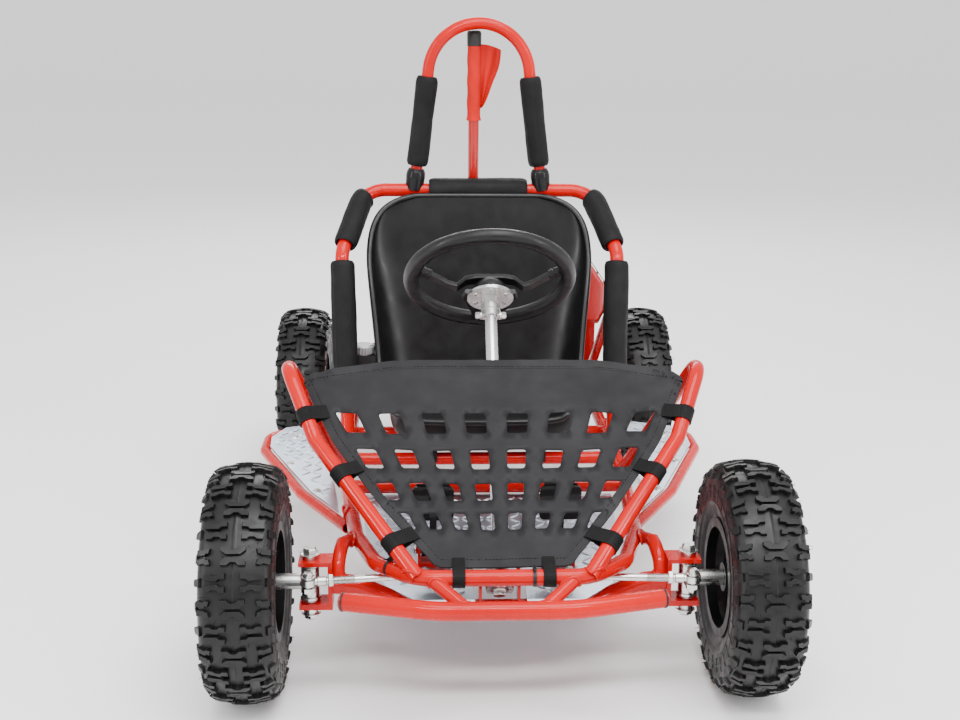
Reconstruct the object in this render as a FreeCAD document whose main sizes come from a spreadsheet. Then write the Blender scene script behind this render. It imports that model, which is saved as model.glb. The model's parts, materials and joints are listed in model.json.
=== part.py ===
import FreeCAD, Part
import math
import os


# A child's off-road go-kart. -Y is its front, +X is on the right as seen from the front, +Z is up, and
# the origin is on the ground midway between the two axles. Left and right are as seen from the front.
# Stations are measured in millimetres from the front axle line, growing to the rear.

Vector = FreeCAD.Vector
Placement = FreeCAD.Placement
Rotation = FreeCAD.Rotation

SIZES = {
    "wheelbase": 950,
    "front_track": 695,
    "rear_track": 686,
    "tyre_od": 330,
    "tyre_width": 98,
    "rim_seat_od": 152,
    "rim_flange_od": 166,
    "axle_height": 165,
    "frame_od": 22,
    "frame_wall": 1.8,
    "cage_od": 25,
    "cage_wall": 2,
    "bumper_od": 25,
    "side_bar_od": 18,
    "brace_od": 18,
    "beam_od": 28,
    "beam_wall": 2.5,
    "foam_od": 46,
    "plate_gauge": 3,
    "cover_gauge": 2.5,
    "kingpin_od": 12,
    "stub_od": 16,
    "shaft_od": 19,
    "tie_rod_od": 10,
    "rear_axle_od": 25,
    "rod_bolt_od": 8,
    "pedal_pin_od": 10,
    "crank_od": 19,
    "wheel_rim_od": 272,
    "wheel_rim_section": 25,
    "pole_od": 20,
    "running_gap": 0.05,
}

doc = FreeCAD.newDocument("off_road_kart")
sheet = doc.addObject("Spreadsheet::Sheet", "sizes")
for row, (alias, value) in enumerate(SIZES.items(), 1):
    sheet.set("A%d" % row, alias)
    sheet.set("B%d" % row, str(value))
    sheet.setAlias("B%d" % row, alias)
doc.recompute()


def size(alias):
    return float(sheet.get(alias))


def spot(x, station, z):
    """A point of the row frame, from its station behind the front axle line."""
    return Vector(x, station - size("wheelbase") / 2, z)


def mirrored(points):
    """The same points on the other side of the kart."""
    return [Vector(-point.x, point.y, point.z) for point in points]


# ---------------------------------------------------------------- placements

ALONG_X = Vector(1, 0, 0)
ALONG_Y = Vector(0, 1, 0)
ALONG_Z = Vector(0, 0, 1)


def facing(origin, normal, across):
    """A placement whose local z is normal and whose local x is as near across as can be."""
    return Placement(origin, Rotation(across, Vector(), normal, "ZXY"))


def from_above(z):
    """Outlines in (x, station), extruded upwards from height z."""
    return facing(spot(0, 0, z), ALONG_Z, ALONG_X)


def from_side(x):
    """Outlines in (station, z), extruded towards +X from x."""
    return facing(spot(x, 0, 0), ALONG_X, ALONG_Y)


def from_front(station):
    """Outlines in (x, z), extruded towards the front from a station."""
    return facing(spot(0, station, 0), -ALONG_Y, ALONG_X)


# ---------------------------------------------------------------- sketches and bodies

def origin_plane(body):
    return [item for item in body.Origin.OriginFeatures if item.Role == "XY_Plane"][0]


def loop(points):
    """A closed outline of straight edges through (x, y) pairs."""
    corners = [Vector(x, y, 0) for x, y in points]
    return [Part.LineSegment(a, b) for a, b in zip(corners, corners[1:] + corners[:1])]


def disc(x, y, radius):
    return [Part.Circle(Vector(x, y, 0), ALONG_Z, radius)]


def box_outline(x_low, y_low, x_high, y_high):
    return loop([(x_low, y_low), (x_high, y_low), (x_high, y_high), (x_low, y_high)])


def rounded_box(x_low, y_low, x_high, y_high, radius):
    """A rectangle with quarter-round corners."""
    edges = []
    corners = [(x_high, y_low, -90), (x_high, y_high, 0), (x_low, y_high, 90), (x_low, y_low, 180)]
    ends = []
    for x, y, start in corners:
        centre = Vector(x - math.copysign(radius, x - (x_low + x_high) / 2),
                        y - math.copysign(radius, y - (y_low + y_high) / 2), 0)
        arc = Part.ArcOfCircle(Part.Circle(centre, ALONG_Z, radius),
                               math.radians(start), math.radians(start + 90))
        edges.append(arc)
        ends.append((arc.value(arc.FirstParameter), arc.value(arc.LastParameter)))
    for here, following in zip(ends, ends[1:] + ends[:1]):
        edges.append(Part.LineSegment(here[1], following[0]))
    return edges


def new_body(label, placement):
    body = doc.addObject("PartDesign::Body", label)
    body.Label = label
    body.Placement = placement
    return body


def sketch_in(body, edges):
    sketch = body.newObject("Sketcher::SketchObject", body.Name + "_sketch")
    sketch.AttachmentSupport = [(origin_plane(body), "")]
    sketch.MapMode = "FlatFace"
    for edge in edges:
        sketch.addGeometry(edge, False)
    return sketch


def plate(label, placement, edges, thickness, centred=False):
    """A body padded from one sketch; thickness is a number or the name of a driving size."""
    body = new_body(label, placement)
    pad = body.newObject("PartDesign::Pad", body.Name + "_pad")
    pad.Profile = sketch_in(body, edges)
    if isinstance(thickness, str):
        pad.setExpression("Length", "sizes." + thickness)
    else:
        pad.Length = thickness
    if centred:
        pad.SideType = "Symmetric"
    return body


def turned(label, placement, edges):
    """A body revolved about its local x axis, from an outline in (along, radius)."""
    body = new_body(label, placement)
    revolution = body.newObject("PartDesign::Revolution", body.Name + "_turn")
    sketch = sketch_in(body, edges)
    revolution.Profile = sketch
    revolution.ReferenceAxis = (sketch, ["H_Axis"])
    revolution.Angle = 360
    return body


def along_axis(origin, axis):
    """A placement whose local x, the turning axis of a revolved body, is axis."""
    side = ALONG_Z if abs(axis.z) < 0.9 * axis.Length else ALONG_Y
    return Placement(origin, Rotation(axis, Vector(), side, "XZY"))


def rod(label, start, end, diameter):
    """A round bar between two points; diameter is a number or the name of a driving size."""
    bar = doc.addObject("Part::Cylinder", label)
    bar.Label = label
    if isinstance(diameter, str):
        bar.setExpression("Radius", "sizes." + diameter + " / 2")
    else:
        bar.Radius = diameter / 2
    bar.Height = (end - start).Length
    bar.Placement = Placement(start, Rotation(ALONG_Z, end - start))
    return bar


# ---------------------------------------------------------------- booleans

def cut(label, base, *tools):
    """Base less each tool in turn; the last result carries the label."""
    shape = base
    for count, tool in enumerate(tools, 1):
        name = label if count == len(tools) else "%s_less_%d" % (label, count)
        result = doc.addObject("Part::Cut", name)
        result.Base = shape
        result.Tool = tool
        shape = result
    shape.Label = label
    return shape


def fuse(label, *parts):
    result = doc.addObject("Part::MultiFuse", label)
    result.Shapes = list(parts)
    result.Label = label
    return result


def overlap_of(label, first, second):
    result = doc.addObject("Part::Common", label)
    result.Base = first
    result.Tool = second
    result.Label = label
    return result


def group(label, *parts):
    """Separate solids that share one node."""
    result = doc.addObject("Part::Compound", label)
    result.Links = list(parts)
    result.Label = label
    return result


def mirror(label, part):
    result = doc.addObject("Part::Mirroring", label)
    result.Source = part
    result.Normal = ALONG_X
    result.Base = Vector(0, 0, 0)
    result.Label = label
    return result


def pair(label, part):
    return group(label, part, mirror(label + "_other", part))


def rounded(label, base, radius, chosen):
    """Base with the edges that chosen(edge) picks rounded off."""
    doc.recompute()
    result = doc.addObject("Part::Fillet", label)
    result.Base = base
    result.Edges = [(number, radius, radius)
                    for number, edge in enumerate(base.Shape.Edges, 1) if chosen(edge)]
    result.Label = label
    return result


# ---------------------------------------------------------------- bent tubes

def bent_path(points, bend):
    """Straight runs through the points, joined by tangent arcs of radius bend."""
    edges = []
    start = points[0]
    for before, corner, after in zip(points, points[1:], points[2:]):
        back = (before - corner).normalize()
        onward = (after - corner).normalize()
        half = back.getAngle(onward) / 2
        reach = bend / math.tan(half)
        middle = corner + (back + onward).normalize() * (bend / math.sin(half) - bend)
        edges.append(Part.LineSegment(start, corner + back * reach).toShape())
        edges.append(Part.Arc(corner + back * reach, middle, corner + onward * reach).toShape())
        start = corner + onward * reach
    edges.append(Part.LineSegment(start, points[-1]).toShape())
    return Part.Wire(edges)


def sweep(label, wire, radius_expression):
    """A round bar swept along a wire, its radius bound to the sheet."""
    spine = doc.addObject("Part::Feature", label + "_route")
    spine.Shape = wire
    first = wire.Edges[0]
    section = doc.addObject("Part::Circle", label + "_section")
    section.setExpression("Radius", radius_expression)
    section.Placement = Placement(first.valueAt(first.FirstParameter),
                                  Rotation(ALONG_Z, first.tangentAt(first.FirstParameter)))
    result = doc.addObject("Part::Sweep", label)
    result.Sections = [section]
    result.Spine = (spine, ["Edge%d" % number for number in range(1, len(wire.Edges) + 1)])
    result.Solid = True
    return result


def tube(label, wire, bore_wall, outside, *mates):
    """A tube along a wire, its ends fitted to the outsides of the tubes it is welded to."""
    solid = sweep(label + "_solid", wire, "sizes.%s / 2" % outside)
    bore = sweep(label + "_bore", wire, "sizes.%s / 2 - sizes.%s" % (outside, bore_wall))
    return cut(label, solid, bore, *mates), solid


# ---------------------------------------------------------------- main frame

RAIL_X = 237
RAIL_Z = 160
KICK_Z = 214
FRAME_BEND = 60

nose = [spot(RAIL_X, 470, RAIL_Z), spot(RAIL_X, 433, RAIL_Z), spot(203, 99, 189.4), spot(171, -22, 200),
        spot(115, -85, 205.5)]
front_bar, front_bar_solid = tube("front_bar", bent_path(nose + mirrored(nose)[::-1], FRAME_BEND),
                                  "frame_wall", "frame_od")

rear_cross = rod("rear_cross_solid", spot(-252, 1085, KICK_Z), spot(252, 1085, KICK_Z), "frame_od")
rail = [spot(RAIL_X, 470, RAIL_Z), spot(RAIL_X, 800, RAIL_Z), spot(RAIL_X, 850, KICK_Z),
        spot(RAIL_X, 1085, KICK_Z)]
rail_right, rail_right_solid = tube("rail_right", bent_path(rail, FRAME_BEND), "frame_wall", "frame_od",
                                    rear_cross)
rail_left_solid = mirror("rail_left_solid", rail_right_solid)
main_rails = pair("main_rails", rail_right)


def cross_tube(label, station, z, half_length, *mates):
    """A straight tube across the kart between the two rails."""
    solid = rod(label + "_solid", spot(-half_length, station, z), spot(half_length, station, z), "frame_od")
    bore = rod(label + "_bore", spot(-half_length, station, z), spot(half_length, station, z),
               size("frame_od") - 2 * size("frame_wall"))
    return cut(label, solid, bore, *mates)


FLOOR_CROSS_STATION = 365
FLOOR_CROSS_Z = 166
SEAT_FRONT_STATION = 520
SEAT_REAR_STATION = 668
ENGINE_CROSS_STATION = 862
cross_tubes = group(
    "cross_tubes",
    cross_tube("floor_cross", FLOOR_CROSS_STATION, FLOOR_CROSS_Z, 230, front_bar_solid),
    cross_tube("seat_front_cross", SEAT_FRONT_STATION, RAIL_Z, RAIL_X, rail_right_solid, rail_left_solid),
    cross_tube("seat_rear_cross", SEAT_REAR_STATION, RAIL_Z, RAIL_X, rail_right_solid, rail_left_solid),
    cross_tube("engine_cross", ENGINE_CROSS_STATION, KICK_Z, RAIL_X, rail_right_solid, rail_left_solid),
    cross_tube("rear_cross", 1085, KICK_Z, 252))

# The front hoops rise from the nose to the driver's knees and turn down to the rails.
HOOP_BEND = 45
hoop = [spot(114, -85, 205.5), spot(259, 100, 336), spot(311, 200, 434), spot(RAIL_X, 450, RAIL_Z)]
front_hoop_right, hoop_right_solid = tube("front_hoop_right", bent_path(hoop, HOOP_BEND), "frame_wall",
                                          "frame_od", front_bar_solid)
front_hoop_left = mirror("front_hoop_left", front_hoop_right)
hoop_left_solid = mirror("hoop_left_solid", hoop_right_solid)

DASH_STATION = 267.5
DASH_Z = 360
dash_bar = cross_tube("dash_bar", DASH_STATION, DASH_Z, 291, hoop_right_solid, hoop_left_solid)

# Front bumper: a shallow forward bow carried on two struts.
BUMPER_Z = 178
bow = [spot(212, -94, BUMPER_Z), spot(90, -127, BUMPER_Z)]
bumper_wire = bent_path(bow + mirrored(bow)[::-1], 220)
front_bumper, bumper_solid = tube("front_bumper", bumper_wire, "frame_wall", "bumper_od")
strut = Part.Wire([Part.LineSegment(spot(98, -85, 205.5), spot(46, -130, BUMPER_Z)).toShape()])
strut_right, _ = tube("strut_right", strut, "frame_wall", "brace_od", front_bar_solid, bumper_solid)
cap_base = spot(212, -94, BUMPER_Z)
cap_axis = (bow[0] - bow[1]).normalize()
bumper_cap = turned("bumper_cap", along_axis(cap_base, cap_axis),
                    loop([(-14, 0), (-14, 10.6), (0, 10.6), (0, 12.5), (3, 12), (5, 9), (5.5, 0)]))
bumper_end_caps = pair("bumper_end_caps", bumper_cap)

# ---------------------------------------------------------------- front axle

KINGPIN_X = 262
EAR_X = 277
WEB_X = 236
BEAM_Z = 120
AXLE_Z = size("axle_height")
bracket = plate("bracket_blank", from_front(17), loop(
    [(WEB_X - 5, 129), (EAR_X, 129), (EAR_X, 137), (WEB_X + 1, 137),
     (WEB_X + 1, 193), (EAR_X, 193), (EAR_X, 199), (WEB_X - 5, 199)]), 34)
kingpin_hole = rod("kingpin_hole", spot(KINGPIN_X, 0, 120), spot(KINGPIN_X, 0, 210), "kingpin_od")
kingpin_brackets = pair("kingpin_brackets", cut("kingpin_bracket", bracket, kingpin_hole))

beam = [spot(WEB_X - 3, 0, AXLE_Z - 4), spot(200, 0, AXLE_Z - 6), spot(118, 0, BEAM_Z)]
front_axle_beam, beam_solid = tube("front_axle_beam", bent_path(beam + mirrored(beam)[::-1], 50),
                                   "beam_wall", "beam_od", bracket, mirror("bracket_left", bracket))

axle_brace_route = bent_path([spot(224, 4, 186), spot(219, 40, 204), spot(206, 92, 190)], 30)
axle_brace, _ = tube("axle_brace", axle_brace_route, "frame_wall", "brace_od", bracket, front_bar_solid)

# ---------------------------------------------------------------- floor and side steps

FLOOR_Z = 146
floor_outline = loop([(-36, -31), (-118, -31), (-160, 18), (-184, 100), (-208, FLOOR_CROSS_STATION + 6),
                      (208, FLOOR_CROSS_STATION + 6), (184, 100), (160, 18), (118, -31), (36, -31),
                      (36, 34), (-36, 34)])
floor_screws_at = [(sign * 104, station) for sign in (-1, 1) for station in (70, 200, 330)]
STEP_Z = 172.5
step_screws_at = [(276, 322), (331, 455), (336, 600)]


def drilled(outline, spots, radius):
    """An outline with round holes at the given spots."""
    return outline + [circle for x, y in spots for circle in disc(x, y, radius)]


SCREW_R = 3
floor_plate = cut("floor_plate", plate("floor_blank", from_above(FLOOR_Z), drilled(
    floor_outline, floor_screws_at, SCREW_R), "plate_gauge"), beam_solid)
step_outline = loop([(236, 232), (286, 322), (374, 545), (377, 600), (356, 652), (266, 690),
                     (262, 460), (259, 420), (243, 300)])
step_plates = pair("step_plates", plate("step_plate", from_above(STEP_Z), drilled(
    step_outline, step_screws_at, SCREW_R), "plate_gauge"))

side_bar = [spot(221, 196, 163), spot(303, 342, 163), spot(385, 555, 163), spot(385, 640, 163),
            spot(RAIL_X, 705, 163)]
side_bar_right, _ = tube("side_bar_right", bent_path(side_bar, 45), "frame_wall", "side_bar_od",
                         front_bar_solid, rail_right_solid)
side_bars = pair("side_bars", side_bar_right)

bearer = Part.Wire([Part.LineSegment(spot(104, 0, 137), spot(104, FLOOR_CROSS_STATION + 6, 137)).toShape()])
floor_bearer, _ = tube("floor_bearer", bearer, "frame_wall", "side_bar_od", beam_solid)


def screw(label, at, length, head_r, shank_r=SCREW_R, head_height=2.5, axis=ALONG_Z):
    """A round-headed screw whose head sits on the point at and whose shank goes along -axis."""
    return turned(label, along_axis(at, Vector(axis)),
                  loop([(-length, 0), (-length, shank_r), (0, shank_r), (0, head_r),
                        (head_height * 0.6, head_r * 0.85), (head_height, head_r * 0.4), (head_height, 0)]))


plate_top = FLOOR_Z + size("plate_gauge")
step_top = STEP_Z + size("plate_gauge")
screws = [screw("floor_screw_%d" % number, spot(x, station, plate_top), size("plate_gauge"), 6.5)
          for number, (x, station) in enumerate(floor_screws_at)]
screws += [screw("step_screw_%d_%d" % (number, side > 0), spot(side * x, station, step_top),
                 size("plate_gauge"), 6.5)
           for side in (-1, 1) for number, (x, station) in enumerate(step_screws_at)]

# ---------------------------------------------------------------- roll cage

RING = spot(250, 680, 499)
CAGE_TOP_Z = 596
CAGE_TOP_STATION = 795
CAGE_FOOT = spot(RAIL_X, 560, RAIL_Z)
CAGE_CORNER = spot(210, CAGE_TOP_STATION, CAGE_TOP_Z)
cage = [CAGE_FOOT, RING, CAGE_CORNER]
cage_hoop, cage_solid = tube("cage_hoop", bent_path(cage + mirrored(cage)[::-1], 50), "cage_wall", "cage_od",
                             rail_right_solid, rail_left_solid)

stay_route = Part.Wire([Part.LineSegment(spot(247, 655, 431), spot(RAIL_X, 905, KICK_Z)).toShape()])
stay_right, stay_solid = tube("stay_right", stay_route, "frame_wall", "brace_od", cage_solid,
                              rail_right_solid)
brace_tubes = group("brace_tubes", strut_right, mirror("strut_left", strut_right), axle_brace,
                    mirror("axle_brace_left", axle_brace), floor_bearer,
                    mirror("floor_bearer_left", floor_bearer), stay_right, mirror("stay_left", stay_right))

# The roll hoop stands in two sockets on the cage's top tube; its legs lean in and meet in a round top.
SOCKET_X = 118
SOCKET_TOP_Z = 634
HOOP_FOOT_Z = 610
HOOP_TOP_Z = 900
LEAN = math.radians(7)
hoop_radius = ((SOCKET_X - math.tan(LEAN) * (HOOP_TOP_Z - HOOP_FOOT_Z))
               / (math.cos(LEAN) - math.tan(LEAN) * (1 - math.sin(LEAN))))
crown_z = HOOP_TOP_Z - hoop_radius
shoulder = spot(hoop_radius * math.cos(LEAN), CAGE_TOP_STATION, crown_z + hoop_radius * math.sin(LEAN))
foot = spot(SOCKET_X, CAGE_TOP_STATION, HOOP_FOOT_Z)
other_foot, other_shoulder = mirrored([foot, shoulder])
hoop_wire = Part.Wire([
    Part.LineSegment(foot, shoulder).toShape(),
    Part.Arc(shoulder, spot(0, CAGE_TOP_STATION, HOOP_TOP_Z), other_shoulder).toShape(),
    Part.LineSegment(other_shoulder, other_foot).toShape()])
roll_hoop, roll_hoop_solid = tube("roll_hoop", hoop_wire, "frame_wall", "frame_od")
leg_axis = (shoulder - foot).normalize()
socket = turned("socket_blank", along_axis(foot - leg_axis * 14, leg_axis),
                loop([(0, 0), (0, 16), (26, 18), (34, 17), (40, 14), (40, 0)]))
hoop_socket = cut("hoop_socket", socket, cage_solid, roll_hoop_solid)


def foam_sleeve(label, start, end, inside):
    """A straight foam sleeve slipped over a tube between two points."""
    outside = rod(label + "_outside", start, end, "foam_od")
    return cut(label, outside, rod(label + "_inside", start, end, inside))


def along(start, end, distance):
    return start + (end - start).normalize() * distance


lower_foam = cut("lower_foam", foam_sleeve("lower_foam_whole", along(RING, CAGE_FOOT, 17),
                                           along(RING, CAGE_FOOT, 285), "cage_od"), stay_solid)
upper_foam = foam_sleeve("upper_foam", along(RING, CAGE_CORNER, 17), along(RING, CAGE_CORNER, 96), "cage_od")
hoop_foam = foam_sleeve("hoop_foam", along(foot, shoulder, 32), along(foot, shoulder, 196), "frame_od")
back_foams = [foam_sleeve("back_foam_%d" % number, spot(low, CAGE_TOP_STATION, CAGE_TOP_Z),
                          spot(high, CAGE_TOP_STATION, CAGE_TOP_Z), "cage_od")
              for number, (low, high) in enumerate(((-92, -26), (10, 92)))]
foam_sleeves = group("foam_sleeves", lower_foam, mirror("lower_foam_left", lower_foam), upper_foam,
                     mirror("upper_foam_left", upper_foam), hoop_foam, mirror("hoop_foam_left", hoop_foam),
                     *back_foams)

# ---------------------------------------------------------------- flag

FLAG_STATION = CAGE_TOP_STATION + 21
POLE_STATION = FLAG_STATION + 3
POLE_X = -8
pole_foot = spot(POLE_X, POLE_STATION, CAGE_TOP_Z - 16)
pole_top = spot(POLE_X, POLE_STATION, 876)
flag_pole = fuse("flag_pole",
                 rod("pole_bar", pole_foot, pole_top, "pole_od"),
                 rod("pole_sleeve", spot(POLE_X, POLE_STATION, 724), spot(POLE_X, POLE_STATION, 862), 27),
                 rod("pole_cap", spot(POLE_X, POLE_STATION, 862), spot(POLE_X, POLE_STATION, 886), 27))
flag_clip = cut("flag_clip",
                plate("flag_clip_blank", from_side(POLE_X - 17),
                      rounded_box(CAGE_TOP_STATION - 17, CAGE_TOP_Z - 18, FLAG_STATION + 18,
                                  CAGE_TOP_Z + 18, 8), 34),
                cage_solid, rod("flag_clip_hole", spot(POLE_X, POLE_STATION, CAGE_TOP_Z - 30),
                                spot(POLE_X, POLE_STATION, CAGE_TOP_Z + 30), "pole_od"))
hoop_sockets = group("hoop_sockets", hoop_socket, mirror("hoop_socket_left", hoop_socket), flag_clip)
flag_cloth = plate("flag_cloth", from_front(FLAG_STATION + 4.5), loop(
    [(POLE_X + 14, 862), (POLE_X + 36, 866), (POLE_X + 50, 856), (POLE_X + 51, 800), (POLE_X + 32, 760),
     (POLE_X + 14, 748)]), 3)

# ---------------------------------------------------------------- seat

seat_side = loop([(470, 178), (690, 178), (728, 192), (748, 240), (776, 560), (768, 592), (744, 596),
                  (722, 560), (694, 470), (640, 330), (596, 288), (478, 262), (455, 240), (455, 194)])
seat_front = loop([(-140, 178), (140, 178), (172, 204), (182, 380), (201, 500), (203, 548), (184, 584),
                   (140, 598), (-140, 598), (-184, 584), (-203, 548), (-201, 500), (-182, 380), (-172, 204)])
cavity_side = loop([(466, 320), (464, 200), (478, 185), (687, 185), (720, 198), (741, 242), (769, 560),
                    (762, 584), (744, 589), (700, 620), (440, 620), (440, 320)])
cavity_front = loop([(-136, 185), (136, 185), (166, 208), (176, 380), (195, 501), (197, 547), (180, 579),
                     (136, 700), (-136, 700), (-180, 579), (-197, 547), (-195, 501), (-176, 380),
                     (-166, 208)])
seat_outside = overlap_of("seat_outside", plate("seat_side", from_side(-220), seat_side, 440),
                          plate("seat_front", from_front(800), seat_front, 360))
seat_inside = overlap_of("seat_inside", plate("cavity_side", from_side(-220), cavity_side, 440),
                         plate("cavity_front", from_front(800), cavity_front, 360))
seat_shell = cut("seat_shell", seat_outside, seat_inside)


def seat_bracket(label, station, x):
    """A folded strap from a seat cross tube up to the seat's underside."""
    blank = plate(label + "_blank", from_side(x - 15), loop(
        [(station - 16, 158), (station + 16, 158), (station + 20, 178), (station - 20, 178)]), 30)
    hole = rod(label + "_hole", spot(x - 20, station, RAIL_Z), spot(x + 20, station, RAIL_Z), "frame_od")
    return cut(label, blank, hole)


seat_mounts = group("seat_mounts", *[
    seat_bracket("seat_bracket_%d" % number, station, x)
    for number, (station, x) in enumerate([(SEAT_FRONT_STATION, -95), (SEAT_FRONT_STATION, 95),
                                           (SEAT_REAR_STATION, -95), (SEAT_REAR_STATION, 95)])])

# ---------------------------------------------------------------- fabric front cover

COVER_LOW = (-80, 209.5)
COVER_KNEE = (100, 336.5)
COVER_TOP = (216, 423.5)
ROWS = 4
COLUMNS = 8
ROW_STATIONS = (125, 75, 30, -10)


def half_width(station):
    """Half the width of the grid of cut-outs at a station."""
    return 131 + (station + 10) * (209 - 131) / 135


def cut_out(station, column, height):
    """One four-sided cut-out; its sides lean with the cover's sides."""
    pitch = 2 / (COLUMNS - 1)
    middle = -1 + column * pitch
    reach = pitch / 4
    corners = []
    for along_u, along_v in ((-1, -1), (1, -1), (1, 1), (-1, 1)):
        at_station = station + along_v * height / 2
        corners.append(((middle + along_u * reach) * half_width(at_station), at_station))
    return loop(corners)


gauge = size("cover_gauge")
cover_sheet = plate("cover_sheet", from_side(-300), loop(
    [COVER_LOW, COVER_KNEE, COVER_TOP, (COVER_TOP[0], COVER_TOP[1] - gauge * 1.25),
     (COVER_KNEE[0], COVER_KNEE[1] - gauge * 1.25), (COVER_LOW[0], COVER_LOW[1] - gauge * 1.25)]), 600)
cover_half = [(84, -71), (101, -57), (163, 8), (234, 98), (280, 182), (266, 196), (150, 214)]
cover_outline = loop(cover_half + [(-x, station) for x, station in cover_half[::-1]])
windows = []
for row_station, window_height in zip(ROW_STATIONS, (28, 26, 24, 22)):
    for column in range(COLUMNS):
        windows += cut_out(row_station, column, window_height)
front_cover = overlap_of("front_cover", cover_sheet,
                         plate("cover_plan", from_above(150), cover_outline + windows, 400))


def strap(label, at, axis, width):
    """A webbing loop round a tube of the frame."""
    ring = turned(label, along_axis(at, Vector(axis)),
                  box_outline(-width / 2, size("frame_od") / 2, width / 2, size("frame_od") / 2 + 2.2))
    return ring


hoop_axis = (hoop[1] - hoop[0]).normalize()
upper_axis = (hoop[2] - hoop[1]).normalize()
straps = [strap("strap_low_%d" % side, at, axis, 26)
          for side, at, axis in ((0, along(hoop[0], hoop[1], 62), hoop_axis),
                                 (1, along(hoop[0], hoop[1], 196), hoop_axis),
                                 (2, along(hoop[1], hoop[2], 40), upper_axis))]
bar_straps = [strap("strap_bar_%d" % number, spot(x, -85, 205.5), ALONG_X, 16)
              for number, x in enumerate((-60, 60))]
cover_straps = group("cover_straps", *straps, *[mirror(item.Name + "_left", item) for item in straps],
                     *bar_straps)

# ---------------------------------------------------------------- steering

HUB = spot(0, 325, 491)
SHAFT_FOOT = spot(0, 5, 146)
up_shaft = (HUB - SHAFT_FOOT).normalize()
ahead = up_shaft.cross(-ALONG_X)


def on_shaft(distance, forward=0.0):
    """A point up the steering shaft from its foot, and forward of it square to the shaft."""
    return SHAFT_FOOT + up_shaft * distance + ahead * forward


PITMAN_LOW = -1
PITMAN_GAUGE = 6
PITMAN_REACH = 38
LOWER_BUSH = 42
UPPER_BUSH = 318
BUSH_LENGTH = 24
shaft_length = (HUB - SHAFT_FOOT).Length
shaft_placement = along_axis(SHAFT_FOOT, up_shaft)
steering_column = turned("steering_column", shaft_placement, loop(
    [(-8, 0), (-8, 8.5), (-2, 8.5), (-2, size("shaft_od") / 2), (shaft_length, size("shaft_od") / 2),
     (shaft_length, 0)]))

bush_r = size("shaft_od") / 2 + size("running_gap")
lower_bush = turned("lower_bush", along_axis(on_shaft(LOWER_BUSH), up_shaft),
                    box_outline(0, bush_r, BUSH_LENGTH, 16))
upper_bush = turned("upper_bush", along_axis(on_shaft(UPPER_BUSH), up_shaft),
                    box_outline(0, bush_r, BUSH_LENGTH, 15))
lower_ears = [plate("lower_ear_%d" % number, from_side(x), loop(
    [(-4, 130), (-3, 152), (20, 178), (32, 206), (54, 202), (66, 186), (44, 160), (16, 128)]), 4)
    for number, x in enumerate((-29, 25))]
lower_web = plate("lower_web", from_side(-25), loop([(47, 171), (66, 186), (61, 191), (43, 176)]), 50)
upper_post = cut("upper_post", plate("upper_post_blank", from_side(-4), loop(
    [(DASH_STATION - 9, DASH_Z - 4), (DASH_STATION + 9, DASH_Z + 4), (242, 399), (222, 382)]), 8),
    rod("dash_solid", spot(-20, DASH_STATION, DASH_Z), spot(20, DASH_STATION, DASH_Z), "frame_od"),
    rod("upper_bush_solid", on_shaft(UPPER_BUSH - 5), on_shaft(UPPER_BUSH + BUSH_LENGTH + 5), 30))
beam_saddle = cut("lower_bracket", fuse("lower_bracket_blank", *lower_ears, lower_web),
                  beam_solid, rod("lower_bush_solid", on_shaft(0), on_shaft(120), 32))
column_brackets = group("column_brackets", beam_saddle, lower_bush, upper_bush, upper_post)

# A pear-shaped arm from the shaft to the tie-rod bolt, in the plane square to the shaft.
pitman_plate = plate("pitman_plate", facing(on_shaft(PITMAN_LOW), up_shaft, -ALONG_X), loop(
    [(-17, -12), (17, -12), (20, 4), (12, PITMAN_REACH + 8), (6, PITMAN_REACH + 13),
     (-6, PITMAN_REACH + 13), (-12, PITMAN_REACH + 8), (-20, 4)]), PITMAN_GAUGE)
EYE_LOW = PITMAN_LOW + PITMAN_GAUGE + 0.4
EYE_GAUGE = 7
EYE_LIFT = 3.2
bolt_top = EYE_LOW + 2 * EYE_GAUGE + 0.3 + EYE_LIFT - PITMAN_LOW + 6
pitman_bolt = turned("pitman_bolt", along_axis(on_shaft(PITMAN_LOW - 6, PITMAN_REACH), up_shaft),
                     loop([(0, 0), (0, 7), (6, 7), (6, size("rod_bolt_od") / 2),
                           (bolt_top, size("rod_bolt_od") / 2), (bolt_top, 7), (bolt_top + 5, 7),
                           (bolt_top + 5, 0)]))
pitman_arm = group("pitman_arm",
                   cut("pitman_lever", pitman_plate,
                       rod("pitman_shaft_hole", on_shaft(-5), on_shaft(30), "shaft_od"),
                       rod("pitman_bolt_hole", on_shaft(-5, PITMAN_REACH), on_shaft(30, PITMAN_REACH),
                           "rod_bolt_od")),
                   pitman_bolt)

HUB_FLANGE_R = 36
HUB_GAUGE = 5
flange_holes = [(25 * math.cos(math.radians(angle)), 25 * math.sin(math.radians(angle)))
                for angle in range(30, 390, 60)]
steering_hub = fuse("steering_hub",
                    plate("hub_flange", facing(HUB, up_shaft, ALONG_X),
                          drilled(disc(0, 0, HUB_FLANGE_R), flange_holes, SCREW_R), HUB_GAUGE),
                    turned("hub_collar", along_axis(HUB - up_shaft * 22, up_shaft),
                           box_outline(0, size("shaft_od") / 2, 22, 15)))

DISH = 36
rim_r = (size("wheel_rim_od") - size("wheel_rim_section")) / 2
rim_centre = HUB + up_shaft * DISH
rim = doc.addObject("Part::Torus", "wheel_rim")
rim.Radius1 = rim_r
rim.setExpression("Radius2", "sizes.wheel_rim_section / 2")
rim.Placement = Placement(rim_centre, Rotation(ALONG_Z, up_shaft))


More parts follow.
